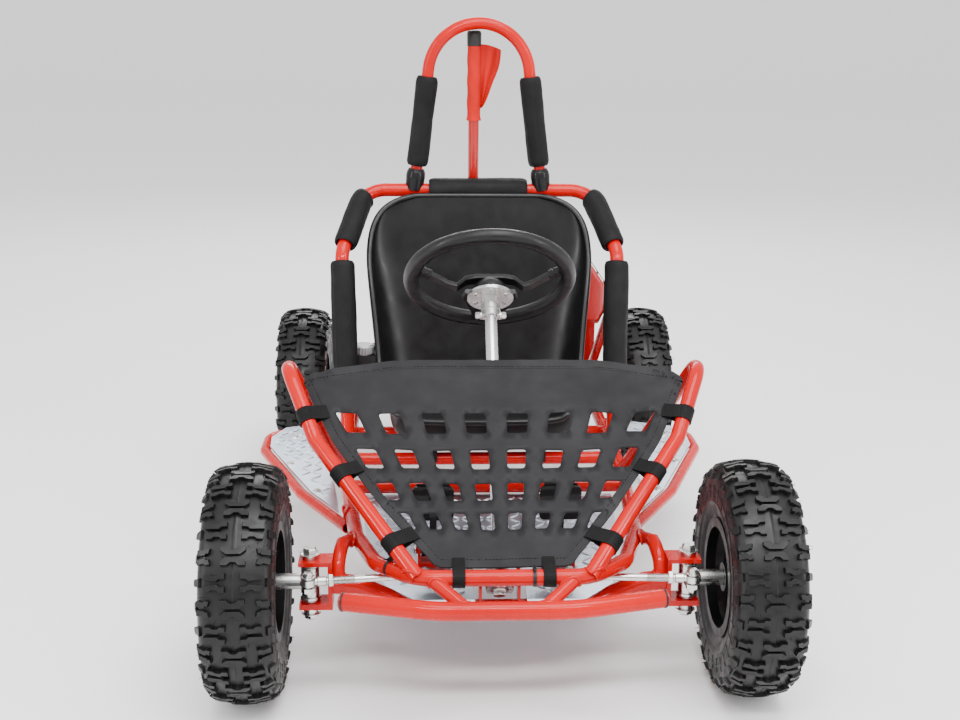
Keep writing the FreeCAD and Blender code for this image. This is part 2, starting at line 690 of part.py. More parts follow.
def spoke(label, direction):
    """A spoke that climbs from the hub boss out to the rim."""
    wheel_place = facing(HUB, up_shaft, ALONG_X)
    route = [ALONG_Z * 14, direction * 34 + ALONG_Z * 18, direction * (rim_r - 22) + ALONG_Z * (DISH - 3),
             direction * (rim_r - 2) + ALONG_Z * DISH]
    wire = bent_path([wheel_place.multVec(point) for point in route], 12)
    return sweep(label, wire, "sizes.wheel_rim_section / 2 - 4")


boss = turned("wheel_boss", along_axis(HUB + up_shaft * HUB_GAUGE, up_shaft),
              loop([(0, 0), (0, HUB_FLANGE_R), (6, HUB_FLANGE_R), (17, 24), (20, 14), (20, 0)]))
steering_wheel = fuse("steering_wheel", rim, boss, spoke("spoke_right", Vector(1, -0.05, 0)),
                      spoke("spoke_left", Vector(-1, -0.05, 0)), spoke("spoke_lower", Vector(0, 1, 0)))

# ---------------------------------------------------------------- knuckles and tie rods

ARM_REACH = 38
ARM_Z = 168
ROD_Z = 181
HUB_X = size("front_track") / 2
sleeve_bore = size("kingpin_od") / 2 + size("running_gap")
sleeve = turned("sleeve", along_axis(spot(KINGPIN_X, 0, 137.4), ALONG_Z),
                box_outline(0, 0, 55.2, 12.5))
stub = turned("stub", along_axis(spot(KINGPIN_X, 0, AXLE_Z), ALONG_X),
              loop([(0, 0), (0, 11), (HUB_X - KINGPIN_X - 36, 11), (HUB_X - KINGPIN_X - 36, 8),
                    (HUB_X - KINGPIN_X + 47, 8), (HUB_X - KINGPIN_X + 47, 0)]))
arm_outline = loop([(KINGPIN_X - 11, 0), (KINGPIN_X - 9, -ARM_REACH - 6), (KINGPIN_X - 4, -ARM_REACH - 10),
                    (KINGPIN_X + 4, -ARM_REACH - 10), (KINGPIN_X + 9, -ARM_REACH - 6), (KINGPIN_X + 11, 0)])
arm = plate("steering_arm", from_above(ARM_Z), arm_outline, 6)
arm_bolt = rod("arm_bolt", spot(KINGPIN_X, -ARM_REACH, ARM_Z - 6), spot(KINGPIN_X, -ARM_REACH, ROD_Z + 8),
               "rod_bolt_od")
arm_bolt_head = rod("arm_bolt_head", spot(KINGPIN_X, -ARM_REACH, ROD_Z + 4.8),
                    spot(KINGPIN_X, -ARM_REACH, ROD_Z + 11), 14)
stub_nut = turned("stub_nut", along_axis(spot(HUB_X + 37, 0, AXLE_Z), ALONG_X),
                  loop([(0, 0), (0, 14), (7, 14), (9, 11), (9, 0)]))
knuckle_right = cut("knuckle_right",
                    fuse("knuckle_blank", sleeve, stub, arm, arm_bolt, arm_bolt_head, stub_nut),
                    rod("sleeve_bore", spot(KINGPIN_X, 0, 130), spot(KINGPIN_X, 0, 200), 2 * sleeve_bore))
knuckle_left = mirror("knuckle_left", knuckle_right)

kingpin = fuse("kingpin",
               rod("kingpin_shank", spot(KINGPIN_X, 0, 121), spot(KINGPIN_X, 0, 201), "kingpin_od"),
               rod("kingpin_head", spot(KINGPIN_X, 0, 199), spot(KINGPIN_X, 0, 206), 20),
               rod("kingpin_nut", spot(KINGPIN_X, 0, 119), spot(KINGPIN_X, 0, 129), 20))
fasteners = group("fasteners", *screws, kingpin, mirror("kingpin_left", kingpin))

EYE_R = 9.5


def tie_rod(label, side, eye_number):
    """A tie rod from a knuckle's arm to the pitman bolt; the inner eye is wide, because it is the
    linkage's open pivot."""
    outer = spot(side * KINGPIN_X, -ARM_REACH, ROD_Z)
    inner = on_shaft(EYE_LOW + EYE_GAUGE / 2 + eye_number * (EYE_GAUGE + 0.3), PITMAN_REACH)
    bolt_r = size("rod_bolt_od") / 2
    outer_eye = turned(label + "_outer_eye", along_axis(outer - ALONG_Z * 4.5, ALONG_Z),
                       box_outline(0, bolt_r + size("running_gap"), 9, EYE_R + 1))
    inner_eye = turned(label + "_inner_eye", along_axis(inner - up_shaft * EYE_GAUGE / 2, up_shaft),
                       box_outline(0, bolt_r + 1.5, EYE_GAUGE, EYE_R + 1))
    bar = rod(label + "_bar", along(outer, inner, EYE_R), along(inner, outer, EYE_R), "tie_rod_od")
    neck = rod(label + "_neck", along(inner, outer, EYE_R - 1), along(inner, outer, EYE_R + 16),
               EYE_GAUGE - 1)
    slim = cut(label + "_slim", bar, rod(label + "_relief", inner, along(inner, outer, EYE_R + 14), 24))
    return fuse(label, outer_eye, inner_eye, slim, neck)


tie_rod_right = tie_rod("tie_rod_right", 1, 0)
tie_rod_left = tie_rod("tie_rod_left", -1, 1)

# ---------------------------------------------------------------- wheels

TYRE_R = size("tyre_od") / 2
TYRE_HALF = size("tyre_width") / 2
SEAT_R = size("rim_seat_od") / 2
FLANGE_R = size("rim_flange_od") / 2


def three_point_arc(a, b, c):
    return Part.Arc(Vector(*a, 0), Vector(*b, 0), Vector(*c, 0))


def tyre_section():
    """The tyre's closed section: bead, bulged wall, shoulder and crown, outside then inside."""
    wall = 8
    outer = [(-40, SEAT_R + 10), (-TYRE_HALF, SEAT_R + 44), (3 - TYRE_HALF, TYRE_R - 14)]
    inner = [(-32, SEAT_R + 8), (wall - TYRE_HALF, SEAT_R + 44), (wall + 3 - TYRE_HALF, TYRE_R - 20)]
    bead = [(-40, SEAT_R + 0.2), (-32, SEAT_R + 0.2)]
    outer_far, inner_far, bead_far = ([(-x, r) for x, r in side] for side in (outer, inner, bead))

    def straight(a, b):
        return Part.LineSegment(Vector(*a, 0), Vector(*b, 0))

    return [straight(bead[0], outer[0]), three_point_arc(*outer),
            three_point_arc(outer[2], (0, TYRE_R), outer_far[2]), three_point_arc(*outer_far[::-1]),
            straight(outer_far[0], bead_far[0]), straight(*bead_far), straight(bead_far[1], inner_far[0]),
            three_point_arc(*inner_far), three_point_arc(inner_far[2], (0, TYRE_R - 12), inner[2]),
            three_point_arc(*inner[::-1]), straight(inner[0], bead[1]), straight(bead[1], bead[0])]


def rim_outline(bore_r, hub_half):
    half = [(hub_half, bore_r), (hub_half, 20), (4, 22), (4, SEAT_R - 19), (20, SEAT_R - 16),
            (30, SEAT_R - 6), (44, SEAT_R - 6), (44, FLANGE_R), (41, FLANGE_R), (41, SEAT_R - 2),
            (30, SEAT_R - 2), (20, SEAT_R - 12)]
    return loop(half + [(-x, r) for x, r in half[::-1]])


def tyre(label, centre):
    return turned(label, along_axis(centre, ALONG_X), tyre_section())


def wheel_rim(label, centre, bore_r, hub_half):
    return turned(label, along_axis(centre, ALONG_X), rim_outline(bore_r, hub_half))


front_centre = spot(HUB_X, 0, AXLE_Z)
rear_centre = spot(size("rear_track") / 2, size("wheelbase"), AXLE_Z)
front_tyre_right = tyre("front_tyre_right", front_centre)
front_tyre_left = mirror("front_tyre_left", front_tyre_right)
front_rim_right = wheel_rim("front_rim_right", front_centre,
                            size("stub_od") / 2 + size("running_gap"), 35.5)
front_rim_left = mirror("front_rim_left", front_rim_right)
rear_tyres = pair("rear_tyres", tyre("rear_tyre_right", rear_centre))
rear_rims = pair("rear_rims", wheel_rim("rear_rim_right", rear_centre, size("rear_axle_od") / 2, 38))

# ---------------------------------------------------------------- rear axle and drive

REAR = size("wheelbase")
CHAIN_X = 50
SPROCKET_GAUGE = 4
CHAIN_PITCH = 9.525
AXLE_TEETH = 48
CLUTCH_TEETH = 12
CRANK = (1000, 321)
axle_end = size("rear_track") / 2 + 46
rear_axle = fuse("rear_axle",
                 rod("axle_bar", spot(-axle_end, REAR, AXLE_Z), spot(axle_end, REAR, AXLE_Z), "rear_axle_od"),
                 *[turned("axle_collar_%d" % number, along_axis(spot(x, REAR, AXLE_Z), ALONG_X),
                          box_outline(0, 0, 7, 19)) for number, x in enumerate((-axle_end, axle_end - 7))])


def pitch_radius(teeth):
    return CHAIN_PITCH / 2 / math.sin(math.pi / teeth)


def sprocket_outline(teeth):
    """Pointed teeth about the pitch circle."""
    mean = pitch_radius(teeth)
    points = []
    for tooth in range(teeth):
        for fraction, radius in ((0, mean - 2.6), (0.3, mean + 1.2), (0.42, mean + 3), (0.58, mean + 3),
                                 (0.7, mean + 1.2)):
            angle = 2 * math.pi * (tooth + fraction) / teeth
            points.append((radius * math.cos(angle), radius * math.sin(angle)))
    return loop(points)


def on_axle(x):
    return facing(spot(x, REAR, AXLE_Z), ALONG_X, ALONG_Y)


AXLE_R = size("rear_axle_od") / 2
lightening = [(48 * math.cos(math.radians(angle)), 48 * math.sin(math.radians(angle)))
              for angle in range(0, 360, 60)]
axle_sprocket = fuse("axle_sprocket",
                     plate("sprocket_plate", on_axle(CHAIN_X - SPROCKET_GAUGE / 2),
                           drilled(sprocket_outline(AXLE_TEETH) + disc(0, 0, AXLE_R), lightening, 9),
                           SPROCKET_GAUGE),
                     turned("sprocket_hub", along_axis(spot(CHAIN_X + 26, REAR, AXLE_Z), -ALONG_X),
                            loop([(0, AXLE_R), (0, 20), (16, 20), (16, 32), (24, 32), (24, AXLE_R)])))
DISC_X = 120
brake_disc = fuse("brake_disc",
                  plate("disc_plate", on_axle(DISC_X - 2),
                        drilled(disc(0, 0, 76) + disc(0, 0, AXLE_R),
                                [(58 * math.cos(math.radians(angle)), 58 * math.sin(math.radians(angle)))
                                 for angle in range(0, 360, 30)], 5), 4),
                  turned("disc_hub", along_axis(spot(DISC_X + 2, REAR, AXLE_Z), ALONG_X),
                         loop([(0, AXLE_R), (0, 30), (7, 30), (7, 19), (22, 19), (22, AXLE_R)])))

hanger_blank = plate("hanger_blank", from_side(RAIL_X - 6), loop(
    [(REAR - 44, KICK_Z), (REAR + 44, KICK_Z), (REAR + 34, 150), (REAR + 18, 130), (REAR - 18, 130),
     (REAR - 34, 150)]) + disc(REAR, AXLE_Z, AXLE_R + size("running_gap")), 12)
BEARING_BORE_R = AXLE_R + size("running_gap")
bearing_ring = turned("bearing_ring", along_axis(spot(RAIL_X - 17, REAR, AXLE_Z), ALONG_X),
                      loop([(0, BEARING_BORE_R), (0, 24), (11, 30), (11, BEARING_BORE_R)]))
hanger = cut("hanger", fuse("hanger_whole", hanger_blank, bearing_ring), rail_right_solid)
axle_bearings = pair("axle_bearings", hanger)

caliper_side = rounded_box(REAR - 92, 176, REAR - 40, 224, 10)
caliper = fuse("caliper_body", plate("caliper_outer", from_side(DISC_X - 26), caliper_side, 20),
               plate("caliper_inner", from_side(DISC_X + 5), caliper_side, 16),
               plate("caliper_bridge", from_side(DISC_X - 26),
                     box_outline(REAR - 92, 190, REAR - 79, 222), 47))
caliper_arm = plate("caliper_arm", from_side(DISC_X + 11), loop(
    [(REAR - 88, 218), (REAR - 100, 210), (REAR - 92, 190), (REAR - 70, 190)]), 8)
engine_cross_solid = rod("engine_cross_bar", spot(-RAIL_X, ENGINE_CROSS_STATION, KICK_Z),
                         spot(RAIL_X, ENGINE_CROSS_STATION, KICK_Z), "frame_od")
brake_caliper = cut("brake_caliper", fuse("caliper_whole", caliper, caliper_arm), engine_cross_solid)

# ---------------------------------------------------------------- engine

ENGINE_PLATE_Z = KICK_Z + size("frame_od") / 2
ENGINE_Z = ENGINE_PLATE_Z + 5
def block(label, low, high, radius):
    """A cast block with its upright edges rounded."""
    return plate(label, from_above(low[2]), rounded_box(low[0], low[1], high[0], high[1], radius),
                 high[2] - low[2])


TANK_Z = 318
TANK_BACK = 1030
TANK_LENGTH = 146
tray_outline = rounded_box(120, TANK_BACK - 138, 250, TANK_BACK - 8, 10)
tray = plate("tank_tray", from_above(TANK_Z - 4), tray_outline, 4)
tray_legs = [plate("tray_leg_%d" % number, from_front(station), loop(
    [(226, 216), (248, 216), (248, TANK_Z - 4), (196, TANK_Z - 4), (226, 280)]), 4)
    for number, station in enumerate((938, 1020))]
engine_plate = cut("engine_plate", group(
    "engine_plates",
    plate("engine_base", from_above(ENGINE_PLATE_Z), drilled(
        rounded_box(-186, 848, 32, 1097, 14), [(-164, 880), (10, 880), (-164, 1070), (10, 1070)], 4), 5),
    fuse("tank_stand", tray, *tray_legs)), rail_right_solid)

CYLINDER_TILT = math.radians(26)
bore_axis = Vector(0, -math.cos(CYLINDER_TILT), math.sin(CYLINDER_TILT))
bore_root = spot(-65, 955, 345)
fins = []
for number in range(7):
    fin_at = bore_root + bore_axis * (24 + number * 11)
    fins.append(plate("fin_%d" % number, facing(fin_at, bore_axis, ALONG_X),
                      rounded_box(-50, -46, 50, 46, 14), 4))
barrel = rod("barrel", bore_root - bore_axis * 20, bore_root + bore_axis * 100, 74)
head = plate("head", facing(bore_root + bore_axis * 98, bore_axis, ALONG_X),
             rounded_box(-42, -40, 42, 40, 12), 18)
crank_stub = rod("crank_stub", spot(-5, *CRANK), spot(CHAIN_X + 16, *CRANK), "crank_od")
engine_block = fuse("engine_block", block("crankcase", (-128, 930, ENGINE_Z), (0, 1066, 388), 18),
                    block("sump_flange", (-128, 922, ENGINE_Z), (8, 1074, ENGINE_Z + 10), 12),
                    barrel, head, crank_stub, *fins)

COWL_R = 84
cowl = turned("cowl", along_axis(spot(-128, *CRANK), -ALONG_X), loop(
    [(0.5, 60), (0.5, COWL_R), (52, COWL_R), (66, COWL_R - 8), (74, COWL_R - 24), (76, 30), (76, 0), (72, 0),
     (72, 30), (70, COWL_R - 27), (63, COWL_R - 12), (51, COWL_R - 4), (4.5, COWL_R - 4), (4.5, 60)]))
PULL_STATION = 1032
ROPE_X = -165
rope_exit_z = CRANK[1] + math.sqrt(COWL_R ** 2 - (PULL_STATION - CRANK[0]) ** 2)
recoil_cover = cut("recoil_cover", cowl, rod("rope_hole", spot(ROPE_X, PULL_STATION, rope_exit_z - 20),
                                             spot(ROPE_X, PULL_STATION, rope_exit_z + 10), 6))
recoil_handle = fuse("recoil_handle",
                     rod("recoil_rope", spot(ROPE_X, PULL_STATION, rope_exit_z - 104),
                         spot(ROPE_X, PULL_STATION, rope_exit_z + 12), 4),
                     plate("recoil_grip", facing(spot(ROPE_X, PULL_STATION - 9, rope_exit_z + 4),
                                                 ALONG_Y, ALONG_X),
                           loop([(-28, -20), (-22, -28), (22, -28), (28, -20), (8, -6), (5, 0), (-5, 0),
                                 (-8, -6)]), 18))

TANK_TOP_Z = 440
CAP_AT = (172, 955)
tank_box = plate("tank_box", from_front(TANK_BACK), loop(
    [(112, TANK_Z), (248, TANK_Z), (258, TANK_Z + 22), (258, 396), (228, TANK_TOP_Z), (112, TANK_TOP_Z)]),
    TANK_LENGTH)
fuel_tank = fuse("fuel_tank", rounded("tank_soft", tank_box, 9, lambda edge: True),
                 rod("tank_neck", spot(*CAP_AT, TANK_TOP_Z - 2), spot(*CAP_AT, TANK_TOP_Z + 10), 40))
cap_r = 20 + size("running_gap")
fuel_cap = turned("fuel_cap", along_axis(spot(*CAP_AT, TANK_TOP_Z + 2), ALONG_Z),
                  loop([(0, cap_r), (0, 26), (12, 26), (17, 22), (17, 0), (8.3, 0), (8.3, cap_r)]))

air_filter = fuse("air_filter",
                  block("filter_box", (-196, 828, 372), (-132, 900, 438), 14),
                  rod("carburettor", spot(-133, 864, 400), spot(-115, 864, 400), 40))


def lengthwise(edge):
    """Whether an edge is anything but upright."""
    return abs(edge.tangentAt(edge.FirstParameter).z) < 0.9


muffler = fuse("muffler",
               rounded("muffler_can", block("muffler_box", (14, 846, 362), (100, 912, 436), 22), 10,
                       lengthwise),
               rod("exhaust_neck", spot(-14, 868, 404), spot(20, 868, 404), 26),
               rod("tail_pipe", spot(70, 905, 384), spot(70, 940, 372), 18))

CLUTCH_BORE_R = size("crank_od") / 2 + size("running_gap")
clutch = fuse("clutch",
              plate("clutch_sprocket", facing(spot(CHAIN_X - SPROCKET_GAUGE / 2, *CRANK), ALONG_X,
                                              ALONG_Y),
                    sprocket_outline(CLUTCH_TEETH) + disc(0, 0, CLUTCH_BORE_R),
                    SPROCKET_GAUGE),
              turned("clutch_drum", along_axis(spot(CHAIN_X - 5, *CRANK), -ALONG_X),
                     loop([(-4, CLUTCH_BORE_R), (-4, 13), (5, 14), (7, 44), (38, 44), (38, 40), (11, 38),
                           (10, CLUTCH_BORE_R)])))


def chain_side(label, x):
    """One row of the chain's side plates, as a thin band round both sprockets."""
    big, small = pitch_radius(AXLE_TEETH), pitch_radius(CLUTCH_TEETH)
    reach = Vector(CRANK[0] - REAR, CRANK[1] - AXLE_Z, 0)
    lean = math.asin((big - small) / reach.Length)
    heading = math.atan2(reach.y, reach.x)
    edges = []
    for half in (4, -4):
        ends = []
        for sign in (1, -1):
            angle = heading + sign * (math.pi / 2 - lean)
            toward = Vector(math.cos(angle), math.sin(angle), 0)
            low = Vector(REAR, AXLE_Z, 0) + toward * (big + half)
            high = Vector(CRANK[0], CRANK[1], 0) + toward * (small + half)
            ends.append((low, high))
        unit = Vector(math.cos(heading), math.sin(heading), 0)
        far_low = Vector(REAR, AXLE_Z, 0) - unit * (big + half)
        far_high = Vector(CRANK[0], CRANK[1], 0) + unit * (small + half)
        edges += [Part.LineSegment(*ends[0]), Part.Arc(ends[0][1], far_high, ends[1][1]),
                  Part.LineSegment(ends[1][1], ends[1][0]), Part.Arc(ends[1][0], far_low, ends[0][0])]
    return plate(label, from_side(x), edges, 1.5)


drive_chain = group("drive_chain", chain_side("chain_inner", CHAIN_X + 3.2),
                    chain_side("chain_outer", CHAIN_X - 4.7))

# ---------------------------------------------------------------- pedals

PEDAL_STATION = 96
PEDAL_Z = 168
PEDAL_X = 92


def pedal_clevis(label, x):
    ears = [plate("%s_ear_%d" % (label, number), from_side(at), loop(
        [(PEDAL_STATION - 18, plate_top), (PEDAL_STATION + 18, plate_top), (PEDAL_STATION + 10, PEDAL_Z + 9),
         (PEDAL_STATION - 10, PEDAL_Z + 9)]), 4) for number, at in enumerate((x - 22, x + 18))]
    base = plate(label + "_base", from_above(plate_top), box_outline(x - 22, PEDAL_STATION - 18, x + 22,
                                                                     PEDAL_STATION + 18), 3)
    pin = rod(label + "_pin", spot(x - 25, PEDAL_STATION, PEDAL_Z), spot(x + 25, PEDAL_STATION, PEDAL_Z),
              "pedal_pin_od")
    return fuse(label, base, pin, *ears)


def pedal(label, x):
    """A pivoted arm with a foot pad at its top."""
    barrel_bore = size("pedal_pin_od") / 2 + size("running_gap")
    hub = turned(label + "_hub", along_axis(spot(x - 17, PEDAL_STATION, PEDAL_Z), ALONG_X),
                 box_outline(0, barrel_bore, 34, 9))
    lever = cut(label + "_lever", plate(label + "_lever_blank", from_side(x - 5), loop(
        [(PEDAL_STATION - 6, PEDAL_Z), (PEDAL_STATION + 6, PEDAL_Z), (PEDAL_STATION - 4, PEDAL_Z + 84),
         (PEDAL_STATION - 14, PEDAL_Z + 84)]), 10),
        rod(label + "_lever_hole", spot(x - 20, PEDAL_STATION, PEDAL_Z),
            spot(x + 20, PEDAL_STATION, PEDAL_Z), 16))
    pad = plate(label + "_pad", facing(spot(x, PEDAL_STATION - 4, PEDAL_Z + 76),
                                       Vector(0, 1, 0.12).normalize(), ALONG_X),
                rounded_box(-30, -24, 30, 30, 8), 5)
    return fuse(label, hub, lever, pad)


pedal_mounts = group("pedal_mounts", pedal_clevis("throttle_clevis", -PEDAL_X),
                     pedal_clevis("brake_clevis", PEDAL_X))
throttle_pedal = pedal("throttle_pedal", -PEDAL_X)
brake_pedal = pedal("brake_pedal", PEDAL_X)

# ---------------------------------------------------------------- control box beside the seat

KNOB_AT = (-212, 655)
BOX_TOP_Z = 316
control_box = fuse("control_box",
                   plate("box_case", from_above(BOX_TOP_Z - 34), rounded_box(-229, 636, -184, 674, 6), 34),
                   plate("box_tab", from_above(BOX_TOP_Z - 26), box_outline(-185, 640, -179, 670), 18),
                   rod("box_spindle", spot(*KNOB_AT, BOX_TOP_Z - 4), spot(*KNOB_AT, BOX_TOP_Z + 12), 10))
knob_bore = 5 + size("running_gap")
control_knob = turned("control_knob", along_axis(spot(*KNOB_AT, BOX_TOP_Z + 0.6), ALONG_Z), loop(
    [(0, knob_bore), (0, 19), (2, 20), (14, 20), (17, 16), (17, 0), (12, 0), (12, knob_bore)]))

# ---------------------------------------------------------------- check and export

NODES = [front_bar, main_rails, cross_tubes, front_hoop_right, front_hoop_left, dash_bar, front_bumper,
         bumper_end_caps, front_axle_beam, kingpin_brackets, brace_tubes, fasteners, floor_plate,
         step_plates, side_bars, cage_hoop, roll_hoop, hoop_sockets, foam_sleeves,
         flag_pole, flag_cloth, seat_shell, seat_mounts, front_cover, cover_straps,
         column_brackets, steering_column, steering_hub, steering_wheel, pitman_arm, knuckle_right,
         knuckle_left, tie_rod_right, tie_rod_left, front_tyre_right, front_tyre_left, front_rim_right,
         front_rim_left, rear_tyres, rear_rims, rear_axle, axle_sprocket, brake_disc, axle_bearings,
         brake_caliper, engine_plate, engine_block, recoil_cover, recoil_handle, fuel_tank, fuel_cap,
         air_filter, muffler, clutch, drive_chain, pedal_mounts, throttle_pedal, brake_pedal,
         control_box, control_knob]

doc.recompute()
faults = [item.Name for item in doc.Objects if {"Invalid", "Error"} & set(item.State)]
faults += [item.Label for item in NODES if item.Shape.isNull() or not item.Shape.isValid()]
if faults:
    raise RuntimeError("failed objects: " + ", ".join(faults))

os.makedirs("parts", exist_ok=True)
for node in NODES:
    node.Shape.exportStep("parts/%s.step" % node.Label)
print(len(NODES), "nodes written")
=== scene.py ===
import json
import math
import random

import bpy
import bmesh
from mathutils import Matrix, Vector, geometry, noise


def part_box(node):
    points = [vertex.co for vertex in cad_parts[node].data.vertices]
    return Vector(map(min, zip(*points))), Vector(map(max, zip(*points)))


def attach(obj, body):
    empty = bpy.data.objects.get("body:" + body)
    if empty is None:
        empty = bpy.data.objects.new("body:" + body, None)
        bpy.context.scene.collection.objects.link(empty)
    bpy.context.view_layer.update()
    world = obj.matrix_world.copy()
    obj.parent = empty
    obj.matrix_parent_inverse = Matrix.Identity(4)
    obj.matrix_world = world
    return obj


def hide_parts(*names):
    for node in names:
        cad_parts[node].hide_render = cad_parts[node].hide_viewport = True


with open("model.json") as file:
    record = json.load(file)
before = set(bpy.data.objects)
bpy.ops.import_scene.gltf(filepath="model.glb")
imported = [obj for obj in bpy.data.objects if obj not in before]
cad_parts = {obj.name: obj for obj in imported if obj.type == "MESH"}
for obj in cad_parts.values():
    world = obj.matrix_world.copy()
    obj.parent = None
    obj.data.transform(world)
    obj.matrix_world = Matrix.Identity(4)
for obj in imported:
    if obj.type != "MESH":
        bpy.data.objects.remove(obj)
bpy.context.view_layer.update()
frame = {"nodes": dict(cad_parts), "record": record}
rng = random.Random(7)

MM = 0.001
HALF_BASE = 475
X, Y, Z = Vector((1, 0, 0)), Vector((0, 1, 0)), Vector((0, 0, 1))


def S(x, station, z):
    """A point of the row frame in metres, from millimetres and the station behind the front axle."""
    return Vector((x, station - HALF_BASE, z)) * MM


# ---------------------------------------------------------------- camera

def aim_camera():
    yaw, pitch, roll, focal = 0.04764, 0.26429, 0.00968, 1336.74
    ahead = Vector((math.sin(yaw) * math.cos(pitch), math.cos(yaw) * math.cos(pitch), -math.sin(pitch)))
    right = Vector((math.cos(yaw), -math.sin(yaw), 0))
    up = right.cross(ahead)
    right, up = (right * math.cos(roll) + up * math.sin(roll), up * math.cos(roll) - right * math.sin(roll))
    data = bpy.data.cameras.new("camera")
    data.sensor_width = 36
    data.lens = focal / 960 * 36
    data.clip_end = 100
    camera = bpy.data.objects.new("camera", data)
    camera.matrix_world = Matrix.Translation(S(-112.25, -1709.85, 943.66)) @ Matrix(
        (right, up, -ahead)).transposed().to_4x4()
    bpy.context.scene.collection.objects.link(camera)
    bpy.context.scene.camera = camera


aim_camera()

# ---------------------------------------------------------------- materials

class Nodes:
    """A material's node tree, with short ways to add what the finishes here need."""

    def __init__(self, name):
        self.material = bpy.data.materials.new(name)
        self.material.use_nodes = True
        self.tree = self.material.node_tree
        self.shader = self.tree.nodes["Principled BSDF"]
        coordinates = self.tree.nodes.new("ShaderNodeTexCoord")
        self.place = coordinates.outputs["Object"]
        self.flat = coordinates.outputs["UV"]

    def add(self, kind, **inputs):
        node = self.tree.nodes.new(kind)
        for key, value in inputs.items():
            self.feed(node.inputs[key.replace("_", " ")], value)
        return node

    def feed(self, socket, value):
        if hasattr(value, "is_output"):
            self.tree.links.new(value, socket)
        else:
            socket.default_value = value

    def noise(self, scale, detail=3.0, stretch=None, rough=0.5):
        vector = self.place
        if stretch:
            vector = self.add("ShaderNodeMapping", Vector=self.place, Scale=stretch).outputs[0]
        return self.add("ShaderNodeTexNoise", Vector=vector, Scale=scale, Detail=detail,
                        Roughness=rough).outputs["Fac"]

    def ramp(self, value, low, high, start=0.3, end=0.7):
        """Maps value from start..end to low..high."""
        return self.add("ShaderNodeMapRange", Value=value, From_Min=start, From_Max=end, To_Min=low,
                        To_Max=high).outputs[0]

    def maths(self, operation, a, b=0.0):
        node = self.tree.nodes.new("ShaderNodeMath")
        node.operation = operation
        self.feed(node.inputs[0], a)
        self.feed(node.inputs[1], b)
        return node.outputs[0]

    def blend(self, amount, first, second):
        node = self.tree.nodes.new("ShaderNodeMix")
        node.data_type = "RGBA"
        self.feed(node.inputs[0], amount)
        for socket, value in ((node.inputs[6], first), (node.inputs[7], second)):
            self.feed(socket, value if hasattr(value, "is_output") else (*value, 1))
        return node.outputs[2]

    def bump(self, height, strength, distance=0.001):
        node = self.add("ShaderNodeBump", Height=height, Strength=strength, Distance=distance)
        previous = self.shader.inputs["Normal"]
        if previous.is_linked:
            self.tree.links.new(previous.links[0].from_socket, node.inputs["Normal"])
        self.feed(previous, node.outputs[0])

    def set(self, **values):
        for key, value in values.items():
            self.feed(self.shader.inputs[key.replace("_", " ")], value)


def shades(nodes, dark, light, scale, detail=4.0):
    nodes.set(Base_Color=nodes.blend(nodes.ramp(nodes.noise(scale, detail), 0, 1), dark, light))


def painted(name, dark, light, rough=0.24, coat=1.0, peel=0.05):
    n = Nodes(name)
    shades(n, dark, light, 9)
    n.set(Roughness=n.ramp(n.noise(60), rough - 0.05, rough + 0.08), Coat_Weight=coat, Coat_Roughness=0.04,
          Specular_IOR_Level=0.08)
    n.bump(n.noise(420, 2), peel, 0.0004)
    n.bump(n.noise(46, 3), peel * 0.6, 0.001)
    return n.material


def metal(name, dark, light, rough=0.28, spread=0.12, grain=(260, 260, 260), strength=0.1):
    n = Nodes(name)
    shades(n, dark, light, 22)
    n.set(Metallic=1.0, Roughness=n.ramp(n.noise(48, 4), rough - spread / 2, rough + spread))
    n.bump(n.noise(1.0, 3, grain), strength, 0.0003)
    return n.material


def moulded(name, dark, light, rough=0.4, grain=520, strength=0.25, coat=0.0):
    n = Nodes(name)
    shades(n, dark, light, 14)
    n.set(Roughness=n.ramp(n.noise(34), rough - 0.05, rough + 0.1), Coat_Weight=coat, Coat_Roughness=0.1,
          Specular_IOR_Level=0.4)
    n.bump(n.noise(grain, 3), strength, 0.0004)
    return n.material


def woven(name, dark, light, pitch, strength=0.5, rough=0.7, sheen=0.25, flat=False):
    """A plain weave: two crossed wave patterns, with slow colour variation."""
    n = Nodes(name)
    where = n.flat if flat else n.place
    crossed = []
    for turn in (0.0, math.pi / 2):
        turned = n.add("ShaderNodeMapping", Vector=where, Rotation=(turn * 0.6, 0.0, turn)).outputs[0]
        wave = n.add("ShaderNodeTexWave", Vector=turned, Scale=1 / pitch / 3.2, Distortion=0.3)
        crossed.append(wave.outputs["Fac"])
    weave = n.maths("MAXIMUM", *crossed)
    shades(n, dark, light, 12)
    n.set(Roughness=n.ramp(n.noise(40), rough - 0.08, rough + 0.08), Sheen_Weight=sheen, Sheen_Roughness=0.5,
          Specular_IOR_Level=0.16)
    n.bump(weave, strength, pitch * 0.25)
    n.bump(n.noise(26, 3), 0.2, 0.002)
    return n.material


def rubber(name, dark, light, rough=0.6, dust=0.25):
    n = Nodes(name)
    worn = n.ramp(n.noise(28, 6, rough=0.65), 0, dust, 0.45, 0.8)
    n.set(Base_Color=n.blend(worn, dark, light), Roughness=n.ramp(n.noise(52), rough - 0.12, rough + 0.12),
          Specular_IOR_Level=0.3)
    n.bump(n.noise(300, 4), 0.25, 0.0004)
    return n.material


